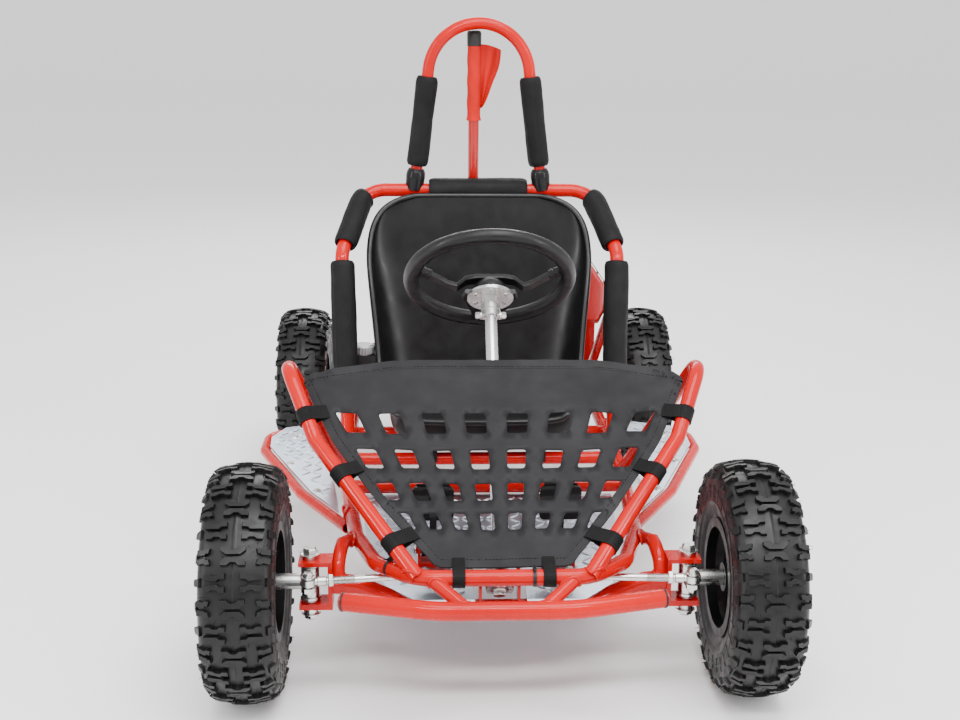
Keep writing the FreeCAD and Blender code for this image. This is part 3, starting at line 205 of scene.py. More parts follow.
RED = painted("red_powder_coat", (0.42, 0.0003, 0.0002), (0.52, 0.0006, 0.0003), 0.26, 0.3)
DARK = painted("dark_paint", (0.006, 0.006, 0.007), (0.012, 0.012, 0.013), 0.36, 0.2)
RIM_BLACK = painted("rim_black", (0.003, 0.003, 0.0035), (0.007, 0.007, 0.0075), 0.38, 0.15)
ZINC = metal("zinc_plate", (0.50, 0.50, 0.49), (0.72, 0.72, 0.70), 0.26)
STEEL = metal("bright_steel", (0.55, 0.55, 0.56), (0.70, 0.70, 0.71), 0.24, 0.1, (40, 900, 900))
PLATE = metal("tread_plate", (0.52, 0.58, 0.66), (0.62, 0.67, 0.74), 0.34, 0.06, (30, 500, 500), 0.04)
ALLOY = metal("cast_alloy", (0.34, 0.34, 0.35), (0.50, 0.50, 0.51), 0.48, 0.14, (420, 420, 420), 0.5)
IRON = metal("machined_iron", (0.20, 0.20, 0.21), (0.32, 0.31, 0.31), 0.34, 0.14, (800, 60, 800), 0.2)
TYRE = rubber("tyre_rubber", (0.0035, 0.0035, 0.0037), (0.017, 0.0165, 0.016), 0.42)
GRIP = rubber("wheel_grip", (0.0035, 0.0035, 0.004), (0.010, 0.010, 0.0105), 0.4, 0.3)
SEAT = moulded("seat_plastic", (0.0022, 0.0022, 0.0024), (0.0045, 0.0045, 0.005), 0.34, 620, 0.16)
BLACK = moulded("black_plastic", (0.004, 0.004, 0.0045), (0.009, 0.009, 0.0095), 0.42)
RED_PLASTIC = moulded("red_plastic", (0.38, 0.0005, 0.0003), (0.46, 0.001, 0.0006), 0.3, 240, 0.06, 0.4)
COVER = woven("cover_cloth", (0.0075, 0.0072, 0.0082), (0.0125, 0.012, 0.0135), 0.0011, 0.35, 0.5, 0.0, True)
WEBBING = woven("webbing", (0.002, 0.002, 0.0022), (0.005, 0.005, 0.0053), 0.0016, 0.8, 0.7, 0.0)
FOAM = woven("foam_skin", (0.0035, 0.0035, 0.0038), (0.007, 0.007, 0.0076), 0.0013, 0.4, 0.62, 0.0)
FLAG = woven("flag_cloth", (0.42, 0.003, 0.002), (0.52, 0.006, 0.004), 0.0009, 0.25, 0.6, 0.0, True)

FINISH = {
    "red_paint": RED, "dark_paint": DARK, "rim_paint": RIM_BLACK, "zinc": ZINC, "bright_steel": STEEL,
    "chrome_steel": STEEL, "tread_plate": PLATE, "cast_alloy": ALLOY, "grey_iron": IRON, "tyre": TYRE,
    "foam": FOAM, "seat_plastic": SEAT, "black_plastic": BLACK, "red_plastic": RED_PLASTIC,
    "cover_cloth": COVER, "webbing": WEBBING, "flag_cloth": FLAG, "grip_rubber": GRIP}


def softener():
    """A node group that merges a mesh's split corners and shades it smooth except across real edges."""
    group = bpy.data.node_groups.new("soften", "GeometryNodeTree")
    group.interface.new_socket("Geometry", in_out="INPUT", socket_type="NodeSocketGeometry")
    group.interface.new_socket("Geometry", in_out="OUTPUT", socket_type="NodeSocketGeometry")
    start, end = group.nodes.new("NodeGroupInput"), group.nodes.new("NodeGroupOutput")
    merge = group.nodes.new("GeometryNodeMergeByDistance")
    merge.inputs["Distance"].default_value = 0.00002
    smooth, sharp = (group.nodes.new("GeometryNodeSetShadeSmooth") for _ in range(2))
    sharp.domain = "EDGE"
    sharp.inputs["Shade Smooth"].default_value = False
    angle = group.nodes.new("GeometryNodeInputMeshEdgeAngle")
    steep = group.nodes.new("FunctionNodeCompare")
    steep.inputs[1].default_value = math.radians(34)
    for source, target in ((start.outputs[0], merge.inputs[0]), (merge.outputs[0], smooth.inputs[0]),
                           (smooth.outputs[0], sharp.inputs[0]), (sharp.outputs[0], end.inputs[0]),
                           (angle.outputs["Unsigned Angle"], steep.inputs[0]),
                           (steep.outputs[0], sharp.inputs["Selection"])):
        group.links.new(source, target)
    return group


SOFTEN = softener()


def soften(obj):
    obj.modifiers.new("soften", "NODES").node_group = SOFTEN


for entry in frame["record"]["subparts"]:
    node = frame["nodes"][entry["node"]]
    node.data.materials.clear()
    node.data.materials.append(FINISH[entry["material_slot"]])
    if "custom_normal" in node.data.attributes:
        node.data.attributes.remove(node.data.attributes["custom_normal"])
    soften(node)

# ---------------------------------------------------------------- mesh building

def frame_of(axis, hint=None):
    """Two unit vectors square to axis and to each other."""
    axis = axis.normalized()
    hint = hint or (Z if abs(axis.z) < 0.9 else Y)
    first = (hint - axis * hint.dot(axis)).normalized()
    return first, axis.cross(first)


class Piece:
    """Collects surfaces in metres and turns them into one shown piece."""

    def __init__(self):
        self.points = []
        self.faces = []

    def put(self, points, faces):
        base = len(self.points)
        self.points += points
        self.faces += [[base + i for i in face] for face in faces]

    def rings(self, rings, closed=True, capped=True):
        """A skin through rings of equal length; closed joins each ring's ends, capped fills both ends."""
        count = len(rings[0])
        faces = []
        for r in range(len(rings) - 1):
            for i in range(count if closed else count - 1):
                j = (i + 1) % count
                faces.append([r * count + i, r * count + j, (r + 1) * count + j, (r + 1) * count + i])
        if capped:
            faces.append(list(range(count))[::-1])
            faces.append([(len(rings) - 1) * count + i for i in range(count)])
        self.put([p for ring in rings for p in ring], faces)

    def lathe(self, origin, axis, profile, segments=32, capped=True, turn=0.0):
        """Revolves (along, radius) pairs in millimetres about an axis."""
        axis = axis.normalized()
        a, b = frame_of(axis)
        angles = [turn + 2 * math.pi * k / segments for k in range(segments)]
        self.rings([[origin + axis * (along * MM) + (a * math.cos(t) + b * math.sin(t)) * (radius * MM)
                     for t in angles] for along, radius in profile], True, capped)

    def bolt(self, origin, axis, flats=10, height=5, washer=True, turn=0.0):
        """A hexagon head on a washer; its underside is at the origin."""
        r = flats / math.sqrt(3)
        if washer:
            self.lathe(origin, axis, [(0, flats * 0.8), (1.0, flats * 0.8), (1.3, flats * 0.74)], 20)
        self.lathe(origin + axis.normalized() * MM, axis,
                   [(0, r), (height * 0.75, r), (height, r * 0.8)], 6, True, turn)

    def dome(self, origin, axis, radius=5, height=3):
        """A button-headed socket screw."""
        profile = [(0, radius), (height * 0.4, radius * 0.96), (height * 0.8, radius * 0.7),
                   (height, radius * 0.42), (height * 0.35, radius * 0.36)]
        self.lathe(origin, axis, profile, 16)

    def tube(self, path, radius, segments=12, capped=True, flat=1.0):
        """A round or flattened bar along points in metres."""
        rings = []
        hint = None
        for k, point in enumerate(path):
            along = path[min(k + 1, len(path) - 1)] - path[max(k - 1, 0)]
            a, b = frame_of(along, hint)
            hint = a
            rings.append([point + (a * math.cos(t) * flat + b * math.sin(t)) * (radius * MM)
                          for t in (2 * math.pi * i / segments for i in range(segments))])
        self.rings(rings, True, capped)

    def slab(self, outline, normal, thickness):
        """An outline of points in metres, thickened along normal by millimetres."""
        lift = normal.normalized() * (thickness * MM)
        self.rings([list(outline), [p + lift for p in outline]], True, True)

    def make(self, name, material, body, slot, sharp=35, bevel=0.0, smooth=0, replaces=()):
        mesh = bpy.data.meshes.new(name)
        mesh.from_pydata([tuple(p) for p in self.points], [], self.faces)
        mesh.validate()
        work = bmesh.new()
        work.from_mesh(mesh)
        bmesh.ops.remove_doubles(work, verts=work.verts, dist=0.000005)
        bmesh.ops.recalc_face_normals(work, faces=work.faces)
        work.to_mesh(mesh)
        work.free()
        return show(name, mesh, material, body, sharp, bevel, smooth, replaces)


def show(name, mesh, material, body, sharp=35, bevel=0.0, smooth=0, replaces=()):
    mesh.polygons.foreach_set("use_smooth", [True] * len(mesh.polygons))
    if sharp:
        mesh.set_sharp_from_angle(angle=math.radians(sharp))
    mesh.materials.append(material)
    obj = bpy.data.objects.new(name, mesh)
    bpy.context.scene.collection.objects.link(obj)
    if bevel:
        modifier = obj.modifiers.new("bevel", "BEVEL")
        modifier.width = bevel * MM
        modifier.segments = 2
        modifier.limit_method = "ANGLE"
        modifier.angle_limit = math.radians(35)
        modifier.harden_normals = True
    if smooth:
        modifier = obj.modifiers.new("smooth", "SUBSURF")
        modifier.levels = modifier.render_levels = smooth
    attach(obj, body)
    if replaces:
        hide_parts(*replaces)
    return obj


def flipped(p):
    return Vector((-p.x, p.y, p.z))


def mix(a, b, t):
    return a + (b - a) * t


# ---------------------------------------------------------------- tyres

CROWN = 158.5
TREAD_PITCHES = 15


def tyre_profile():
    """Half the carcass section as (across, radius), from the crown to the bead, about 1 mm apart."""
    points = []
    crown_r, shoulder_r = 120, 17
    for k in range(37):
        a = k / crown_r
        points.append((crown_r * math.sin(a), CROWN - crown_r * (1 - math.cos(a))))
    start = 36 / crown_r
    x0, r0 = points[-1]
    for k in range(1, 21):
        a = start + (math.radians(86) - start) * k / 20
        points.append((x0 + shoulder_r * (math.sin(a) - math.sin(start)),
                       r0 - shoulder_r * (math.cos(start) - math.cos(a))))
    wall = [points[-1], (48.2, 128), (48.6, 117), (47.8, 106), (45.6, 96), (43, 89), (41.5, 86), (41, 80)]
    for (xa, ra), (xb, rb) in zip(wall, wall[1:]):
        steps = max(2, round(math.hypot(xb - xa, rb - ra)))
        points += [(xa + (xb - xa) * k / steps, ra + (rb - ra) * k / steps) for k in range(1, steps + 1)]
    return points


PROFILE = tyre_profile()
LENGTHS = [0.0]
for before, after in zip(PROFILE, PROFILE[1:]):
    LENGTHS.append(LENGTHS[-1] + math.dist(before, after))


def on_tyre(across, around, lift):
    """A point over the carcass: across is the distance from the crown along the section, around is the
    distance round the tread and lift the height off the carcass, all in millimetres."""
    side = -1 if across < 0 else 1
    s = abs(across)
    k = max(1, min(len(LENGTHS) - 2, next((i for i, l in enumerate(LENGTHS) if l >= s), len(LENGTHS) - 2)))
    t = (s - LENGTHS[k - 1]) / (LENGTHS[k] - LENGTHS[k - 1])
    (xa, ra), (xb, rb) = PROFILE[k - 1], PROFILE[k]
    dx, dr = PROFILE[k + 1][0] - PROFILE[k - 1][0], PROFILE[k + 1][1] - PROFILE[k - 1][1]
    size = math.hypot(dx, dr)
    x = xa + (xb - xa) * t - dr / size * lift
    r = ra + (rb - ra) * t + dx / size * lift
    angle = around / 165
    return Vector((side * x, r * math.cos(angle), r * math.sin(angle))) * MM


BUTTERFLY = [(-16, 12.5), (-8, 12.8), (-3.5, 8.2), (3.5, 8.2), (8, 12.8), (16, 12.5), (16, 7), (9.5, 1.4),
             (-9.5, 1.4), (-16, 7)]
SIDE_BAR = [(8.5, 12.5), (15.5, 12.5), (17, 9.6), (25, 8.6), (29, 11.5), (36, 11), (37.5, 4), (19, 1.2),
            (15.5, 4.6), (8.5, 5)]
SHOULDER = [(28, 11), (33, 12), (37, 10), (45, 11), (46, 2), (35, 1.2), (32, 4), (30, 3)]
OUTER = [(48.5, 7.5), (57, 6.5), (58, -6.5), (48.5, -7.5)]
OUTER_SMALL = [(41.5, 6.5), (50, 6), (54, 4), (54, -4), (50, -6), (41.5, -6.5)]


def tread_block(piece, outline, around, height, flip_x=1, flip_y=1, draft=0.9):
    """One rubber block: its outline on the carcass and a slightly smaller one at its top."""
    points = [(x * flip_x, y * flip_y) for x, y in outline]
    cx = sum(p[0] for p in points) / len(points)
    cy = sum(p[1] for p in points) / len(points)
    base = [on_tyre(x, around + y, -0.6) for x, y in points]
    top = []
    for x, y in points:
        reach = math.hypot(x - cx, y - cy)
        k = 1 - draft / reach
        top.append(on_tyre(cx + (x - cx) * k, around + cy + (y - cy) * k, height))
    piece.rings([base, top], True, True)


def tyre_mesh():
    piece = Piece()
    full = [(-x, r) for x, r in PROFILE[::-2]] + [(x, r) for x, r in PROFILE[::2]]
    segments = 120
    rings = []
    for x, r in full:
        lift = 0.0
        if abs(x) < 0.4:
            lift = 0.8
        if 103 < r < 108 or 121 < r < 124:
            lift = 0.9
        rings.append([Vector((x + math.copysign(lift if r < 130 else 0, x), (r + (lift if r > 130 else 0))
                              * math.cos(t), (r + (lift if r > 130 else 0)) * math.sin(t))) * MM
                      for t in (2 * math.pi * k / segments for k in range(segments))])
    piece.rings(rings, True, False)
    pitch = 2 * math.pi * 165 / TREAD_PITCHES
    for n in range(TREAD_PITCHES):
        here, half = n * pitch, (n + 0.5) * pitch
        for up in (1, -1):
            tread_block(piece, BUTTERFLY, here, 6.0, 1, up)
            for side in (1, -1):
                tread_block(piece, SIDE_BAR, half, 6.2, side, up)
                tread_block(piece, SHOULDER, here, 5.4, side, up)
        for side in (1, -1):
            tread_block(piece, OUTER, here, 3.2, side)
            tread_block(piece, OUTER_SMALL, half, 4.2, side)
            # the wall's short radial ribs
            for k in range(2):
                around = here + pitch * (0.25 + 0.5 * k)
                tread_block(piece, [(64, 1.2), (84, 1.2), (84, -1.2), (64, -1.2)], around, 1.0, side)
    for _ in range(110):
        across = rng.choice((-1, 1)) * rng.uniform(4, 56)
        around = rng.uniform(0, 1036)
        foot = on_tyre(across, around, 0)
        tip = on_tyre(across, around + rng.uniform(-2, 2), rng.uniform(5, 8.5))
        piece.tube([foot, tip], 0.45, 4)
    mesh = bpy.data.meshes.new("tyre")
    mesh.from_pydata([tuple(p) for p in piece.points], [], piece.faces)
    mesh.validate()
    work = bmesh.new()
    work.from_mesh(mesh)
    bmesh.ops.recalc_face_normals(work, faces=work.faces)
    work.to_mesh(mesh)
    work.free()
    return mesh


def wheel_centre(node):
    low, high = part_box(node)
    return (low + high) / 2


TYRE_MESH = tyre_mesh()


def add_tyre(name, centre, body, replaces=()):
    obj = show(name, TYRE_MESH if not TYRE_MESH.materials else TYRE_MESH.copy(), TYRE, body, 32, 0.45)
    obj.parent = None
    obj.matrix_world = Matrix.Translation(centre)
    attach(obj, body)
    if replaces:
        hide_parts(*replaces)


REAR_TYRE_X = 343
add_tyre("tyre_front_right", wheel_centre("front_tyre_right"), "front_wheel_right", ["front_tyre_right"])
add_tyre("tyre_front_left", wheel_centre("front_tyre_left"), "front_wheel_left", ["front_tyre_left"])
add_tyre("tyre_rear_right", S(REAR_TYRE_X, 950, 165), "rear_wheels", ["rear_tyres"])
add_tyre("tyre_rear_left", S(-REAR_TYRE_X, 950, 165), "rear_wheels", ["rear_tyres"])

# ---------------------------------------------------------------- wheel centres

def rim_details(name, centre, side, body, front):
    """Rim-half bolts, hub cap, valve and wheel nuts on one wheel."""
    piece = Piece()
    outward = X * side
    for k in range(6):
        a = math.radians(60 * k + 15)
        spot = centre + Vector((0, math.cos(a), math.sin(a))) * (50 * MM)
        for face in (1, -1):
            piece.bolt(spot + outward * (4 * face * MM), outward * face, 10, 5, True, a)
    for k in range(4):
        a = math.radians(90 * k + 45)
        spot = centre + Vector((0, math.cos(a), math.sin(a))) * (31 * MM)
        piece.bolt(spot + outward * (4 * MM), outward, 13, 8, True, a)
    piece.make(name + "_bolts", ZINC, body, "zinc")
    valve = Piece()
    at = centre + Vector((0, math.cos(0.6), math.sin(0.6))) * (64 * MM) + outward * (18 * MM)
    valve.lathe(at, outward, [(-6, 5), (2, 4.4), (10, 3.4), (22, 2.8), (23, 3.6), (30, 3.6), (31, 2)], 14)
    valve.make(name + "_valve", BLACK, body, "black_plastic")
    cap = Piece()
    if front:
        cap.lathe(centre + outward * (35.6 * MM), outward,
                  [(0, 19.5), (1.2, 19.5), (1.2, 15.5), (0.4, 15.5)], 28, False)
    else:
        cap.lathe(centre + outward * (38 * MM), outward, [(0, 19), (5, 19), (6, 17), (6, 9), (4, 8)], 28)
    cap.make(name + "_collar", ZINC, body, "zinc")


rim_details("rim_front_right", wheel_centre("front_tyre_right"), 1, "front_wheel_right", True)
rim_details("rim_front_left", wheel_centre("front_tyre_left"), -1, "front_wheel_left", True)
rim_details("rim_rear_right", S(REAR_TYRE_X, 950, 165), 1, "rear_wheels", False)
rim_details("rim_rear_left", S(-REAR_TYRE_X, 950, 165), -1, "rear_wheels", False)

# ---------------------------------------------------------------- tube routes and weld beads

NOSE = [S(237, 470, 160), S(237, 433, 160), S(203, 99, 189.4), S(171, -22, 200), S(115, -85, 205.5)]
HOOP = [S(114, -85, 205.5), S(259, 100, 336), S(311, 200, 434), S(237, 450, 160)]
RING, FOOT, CORNER = S(250, 680, 499), S(237, 560, 160), S(210, 795, 596)


def saddle(piece, at, along, radius, mate_axis, mate_radius, bead=2.6):
    """A weld bead round a tube that meets another tube's side; at is on the mate's axis."""
    along, mate_axis = along.normalized(), mate_axis.normalized()
    a, b = frame_of(along, mate_axis)
    count = 44
    path = []
    for k in range(count):
        t = 2 * math.pi * k / count
        ring = (a * math.cos(t) + b * math.sin(t)) * (radius * MM)
        q = ring - mate_axis * ring.dot(mate_axis)
        d = along - mate_axis * along.dot(mate_axis)
        aa, bb, cc = d.dot(d), 2 * q.dot(d), q.dot(q) - (mate_radius * MM) ** 2
        root = bb * bb - 4 * aa * cc
        reach = (-bb + math.sqrt(max(root, 0))) / (2 * aa)
        path.append(at + ring + along * reach)
    segments = 8
    rings = []
    for k, point in enumerate(path):
        tangent = path[(k + 1) % count] - path[k - 1]
        c, d = frame_of(tangent, along)
        size = bead * (0.86 + 0.22 * math.sin(k * math.pi)) if k % 2 else bead * 0.98
        rings.append([point + (c * math.cos(t) + d * math.sin(t)) * (size * MM)
                      for t in (2 * math.pi * i / segments for i in range(segments))])
    rings.append(rings[0])
    piece.rings(rings, True, False)


def add_welds():
    piece = Piece()
    joints = [
        (HOOP[0], HOOP[1] - HOOP[0], 11, X, 11), (HOOP[3], HOOP[2] - HOOP[3], 11, Y, 11),
        (S(291, 267.5, 360), -X, 11, HOOP[3] - HOOP[2], 11),
        (S(230.6, 365, 166), -X, 11, NOSE[2] - NOSE[1], 11),
        (S(237, 520, 160), -X, 11, Y, 11), (S(237, 668, 160), -X, 11, Y, 11),
        (S(237, 862, 214), -X, 11, Y, 11), (S(237, 1085, 214), -Y, 11, X, 11),
        (FOOT, RING - FOOT, 12.5, Y, 11),
        (S(247, 655, 431), S(237, 905, 214) - S(247, 655, 431), 9, RING - FOOT, 12.5),
        (S(237, 905, 214), S(247, 655, 431) - S(237, 905, 214), 9, Y, 11),
        (S(237, 705, 160), S(385, 640, 163) - S(237, 705, 160), 9, Y, 11),
        (S(214, 196, 181), S(303, 342, 163) - S(221, 196, 163), 9, NOSE[2] - NOSE[1], 11),
        (S(98, -85, 205.5), S(46, -130, 178) - S(98, -85, 205.5), 9, X, 11),
        (S(46, -130, 178), S(98, -85, 205.5) - S(46, -130, 178), 9, X, 12.5),
        (S(205, 92, 190), S(219, 40, 204) - S(206, 92, 190), 9, NOSE[2] - NOSE[3], 11),
        (S(104, 0, 137), Y, 9, X, 14)]
    for at, along, radius, mate, mate_radius in joints:
        saddle(piece, at, along, radius, mate, mate_radius)
        saddle(piece, flipped(at), flipped(along), radius, flipped(mate), mate_radius)
    piece.make("weld_beads", RED, "chassis", "red_paint", 60)


add_welds()

# ---------------------------------------------------------------- front cover

KNEE = 100
# the cover's rise per millimetre of station: below the knee, above it, and over the whole cloth
LOWER_RISE, UPPER_RISE, MEAN_RISE = 0.708, 0.75, 0.73
COVER_HALF = [(84, -71), (101, -57), (163, 8), (234, 98), (280, 182), (266, 196), (150, 214)]
ROW_STATIONS = (125, 75, 30, -10)
COLUMNS = 8


def cover_height(x, station):
    """The cover's middle surface: two planes that meet at the knee, sagging a little, with soft folds."""
    lower = 264.2 + LOWER_RISE * station
    upper = 335.0 + UPPER_RISE * (station - KNEE)
    plane = lower if station < KNEE else upper
    wide = max(60.0, 131 + (station + 10) * 0.62 + 26)
    inside = max(0.0, 1 - (x / wide) ** 2)
    sag = -3.0 * inside * max(0.0, 1 - ((station - 60) / 150) ** 2)
    folds = 0.0
    for side in (1, -1):
        for (fx, fs), size, spread in (((276, 180), 2.4, 5.0), ((160, 0), 1.3, 4.0), ((228, 92), 1.2, 5.0)):
            dx, ds = x - side * fx, station - fs
            reach = math.hypot(dx, ds)
            if reach > 1:
                folds += size * math.sin(math.atan2(ds, dx * side) * spread * 2) * math.exp(-reach / 70)
    slow = noise.noise(Vector((x * 0.012, station * 0.02, 3.1))) * 2.2
    fine = noise.noise(Vector((x * 0.05, station * 0.05, 9.4))) * 0.5
    return plane + sag + folds * min(1.0, inside * 3 + 0.25) + slow + fine


def half_width(station):
    return 131 + (station + 10) * 78 / 135


def window(station, column, height, grow=0.0):
    """One cut-out with rounded corners, as (x, station) points."""
    middle = -1 + column * 2 / (COLUMNS - 1)
    reach = 0.5 / (COLUMNS - 1)
    corners = []
    for u, v in ((-1, -1), (1, -1), (1, 1), (-1, 1)):
        at = station + v * (height / 2 + grow)
        corners.append(Vector(((middle + u * reach) * half_width(at) + u * grow, at)))
    points = []
    for k in range(4):
        before, corner, after = corners[k - 1], corners[k], corners[(k + 1) % 4]
        for step in range(4):
            t = step / 3
            a = corner + (before - corner).normalized() * 3.2 * (1 - t)
            b = corner + (after - corner).normalized() * 3.2 * t
            points.append((a + b - corner) * 0.75 + corner * 0.25 if 0 < step < 3 else a if step == 0 else b)
    return points


def smooth_outline(half, steps=7):
    """The cover's outline: a closed line through the half and its mirror image, its corners rounded."""
    points = [Vector(p) for p in half] + [Vector((-x, s)) for x, s in half[::-1]]
    result = []
    count = len(points)
    for k in range(count):
        p0, p1, p2, p3 = (points[(k + i - 1) % count] for i in range(4))
        length = (p2 - p1).length
        pieces = max(3, round(length / steps))
        for i in range(pieces):
            t = i / pieces
            bend = 0.35
            m1, m2 = (p2 - p0) * bend * 0.5, (p3 - p1) * bend * 0.5
            h = (2 * t ** 3 - 3 * t ** 2 + 1, t ** 3 - 2 * t ** 2 + t,
                 -2 * t ** 3 + 3 * t ** 2, t ** 3 - t ** 2)
            result.append(p1 * h[0] + m1 * h[1] + p2 * h[2] + m2 * h[3])
    return result


def inside_loop(point, polygon):
    crossing = False
    for a, b in zip(polygon, polygon[1:] + polygon[:1]):
        if (a.y > point.y) != (b.y > point.y):
            if point.x < (b.x - a.x) * (point.y - a.y) / (b.y - a.y) + a.x:
                crossing = not crossing
    return crossing


def sheet_mesh(name, outline, holes, height, step):
    """A triangulated sheet from a flat outline with holes, lifted by height(x, y)."""
    points = list(outline)
    edges = [(i, (i + 1) % len(outline)) for i in range(len(outline))]
    for hole in holes:
        base = len(points)
        points += hole
        edges += [(base + i, base + (i + 1) % len(hole)) for i in range(len(hole))]
    lows = [min(p[i] for p in outline) for i in range(2)]
    highs = [max(p[i] for p in outline) for i in range(2)]
    row = 0
    y = lows[1]
    while y < highs[1]:
        x = lows[0] + (step / 2 if row % 2 else 0)
        while x < highs[0]:
            p = Vector((x, y))
            if inside_loop(p, outline) and min((p - q).length for q in points[:len(outline)]) > step * 0.6:
                if not any(abs(p.x - h[0].x) < 45 and abs(p.y - h[0].y) < 45
                           and (inside_loop(p, h)
                                or min((p - q).length for q in h) < step * 0.55) for h in holes):
                    points.append(p)
            x += step
        y += step * 0.87
        row += 1
    flat, _, faces, _, _, _ = geometry.delaunay_2d_cdt(points, edges, [], 0, 0.0001)
    kept = []
    for face in faces:
        middle = sum((flat[i] for i in face), Vector((0, 0))) / len(face)
        if inside_loop(middle, outline) and not any(
                abs(middle.x - h[0].x) < 60 and abs(middle.y - h[0].y) < 60 and inside_loop(middle, h)
                for h in holes):
            kept.append(list(face))
    mesh = bpy.data.meshes.new(name)
    mesh.from_pydata([tuple(height(p)) for p in flat], [], kept)
    uv = mesh.uv_layers.new(name="flat")
    for loop in mesh.loops:
        uv.data[loop.index].uv = flat[loop.vertex_index] * MM
    mesh.validate()
    return mesh


def on_cover(point, lift=0.0):
    return S(point[0], point[1], cover_height(point[0], point[1]) + lift)


def thicken(obj, millimetres, offset=0.0):
    modifier = obj.modifiers.new("thickness", "SOLIDIFY")
    modifier.thickness = millimetres * MM
    modifier.offset = offset
    modifier.use_even_offset = True


def band(piece, centre_line, half_breadth, lift, thickness=0.9):
    """A narrow ribbon of cloth lying on the cover along a closed line of (x, station) points."""
    count = len(centre_line)
    rings = []
    for k in range(count):
        a, b = centre_line[k - 1], centre_line[(k + 1) % count]
        along = (b - a).normalized()
        side = Vector((along.y, -along.x))
        inner, outer = centre_line[k] - side * half_breadth, centre_line[k] + side * half_breadth
        rings.append([on_cover(inner, lift), on_cover(outer, lift), on_cover(outer, lift + thickness),
                      on_cover(inner, lift + thickness)])
    rings.append(rings[0])
    piece.rings(rings, True, False)


def stitches(piece, line, lift, gap=5.0, length=3.0):
    """Short raised threads along a closed line of (x, station) points."""
    loop = line + line[:1]
    travelled, due = 0.0, 0.0
    for a, b in zip(loop, loop[1:]):
        run = (b - a).length
        while due <= travelled + run and run > 0:
            t = (due - travelled) / run
            u = min(1.0, t + length / run) if run > length else 1.0
            start, end = a + (b - a) * t, a + (b - a) * u
            middle = (start + end) / 2
            piece.tube([on_cover(start, lift), on_cover(middle, lift + 0.5), on_cover(end, lift)], 0.45, 5)
            due += gap
        travelled += run


def shrink(outline, amount):
    """The outline moved inwards by a distance."""
    result = []
    count = len(outline)
    for k in range(count):
        along = (outline[(k + 1) % count] - outline[k - 1]).normalized()
        result.append(outline[k] + Vector((-along.y, along.x)) * amount)
    return result


def add_cover():
    outline = smooth_outline(COVER_HALF)
    windows = [window(row, column, height) for row, height in zip(ROW_STATIONS, (28, 26, 24, 22))
               for column in range(COLUMNS)]
    mesh = sheet_mesh("cover_cloth", outline, windows, on_cover, 9)
    cover = show("cover_cloth", mesh, COVER, "chassis", 0, 0, 0, ["front_cover"])
    thicken(cover, 1.6)
    hem = Piece()
    band(hem, shrink(outline, 6), 6.0, 0.6)
    hem.make("cover_hem", COVER, "chassis", "cover_cloth", 40)
    thread = Piece()
    stitches(thread, shrink(outline, 10), 1.6)
    thread.make("cover_stitching", WEBBING, "chassis", "webbing", 60)
    return outline


COVER_OUTLINE = add_cover()


def wrap_strap(piece, at, axis, toward, width, radius=11.0):
    """A hook-and-loop strap: a band round a tube with a tongue that runs on to the cover's edge."""
    axis = axis.normalized()
    a = (toward - at) - axis * (toward - at).dot(axis)
    reach = a.length / MM
    a = a.normalized()
    b = axis.cross(a)
    if b.z < 0:
        b = -b
    r = radius + 1.2
    section = [(reach + 8, 2.5), (reach * 0.75, 6.0), (r * 0.62, r * 0.86)]
    section += [(r * math.cos(t), r * math.sin(t)) for t in (math.radians(60 + 15 * k) for k in range(17))]
    section += [(r * 0.75, -r * 0.45), (reach * 0.8, -0.5), (reach + 8, -0.6)]
    path = [at + a * (u * MM) + b * (v * MM) for u, v in section]
    rings = []
    for k, point in enumerate(path):
        along = path[min(k + 1, len(path) - 1)] - path[max(k - 1, 0)]
        normal = axis.cross(along).normalized()
        half = axis * (width / 2 * MM)
        lift = normal * (0.8 * MM)
        rings.append([point - half - lift, point + half - lift, point + half + lift, point - half + lift])
    piece.rings(rings, True, True)


def add_straps():
    piece = Piece()
    low, high = (HOOP[1] - HOOP[0]).normalized(), (HOOP[2] - HOOP[1]).normalized()
    places = ((HOOP[0] + low * 0.062, low), (HOOP[0] + low * 0.196, low), (HOOP[1] + high * 0.04, high))
    for at, axis in places:
        station = at.y / MM + HALF_BASE
        edge = min(COVER_OUTLINE, key=lambda p: (p - Vector((at.x / MM, station))).length)
        for side in (1, -1):
            where = at if side > 0 else flipped(at)
            line = axis if side > 0 else flipped(axis)
            wrap_strap(piece, where, line, on_cover(Vector((abs(edge.x) * side, edge.y)) * 0.97), 22)
    for x in (-60, 60):
        wrap_strap(piece, S(x, -85, 205.5), X, on_cover(Vector((x, -66))), 17)
    piece.make("cover_straps_sewn", WEBBING, "chassis", "webbing", 50, 0, 0, ["cover_straps"])


add_straps()

# ---------------------------------------------------------------- foam sleeves

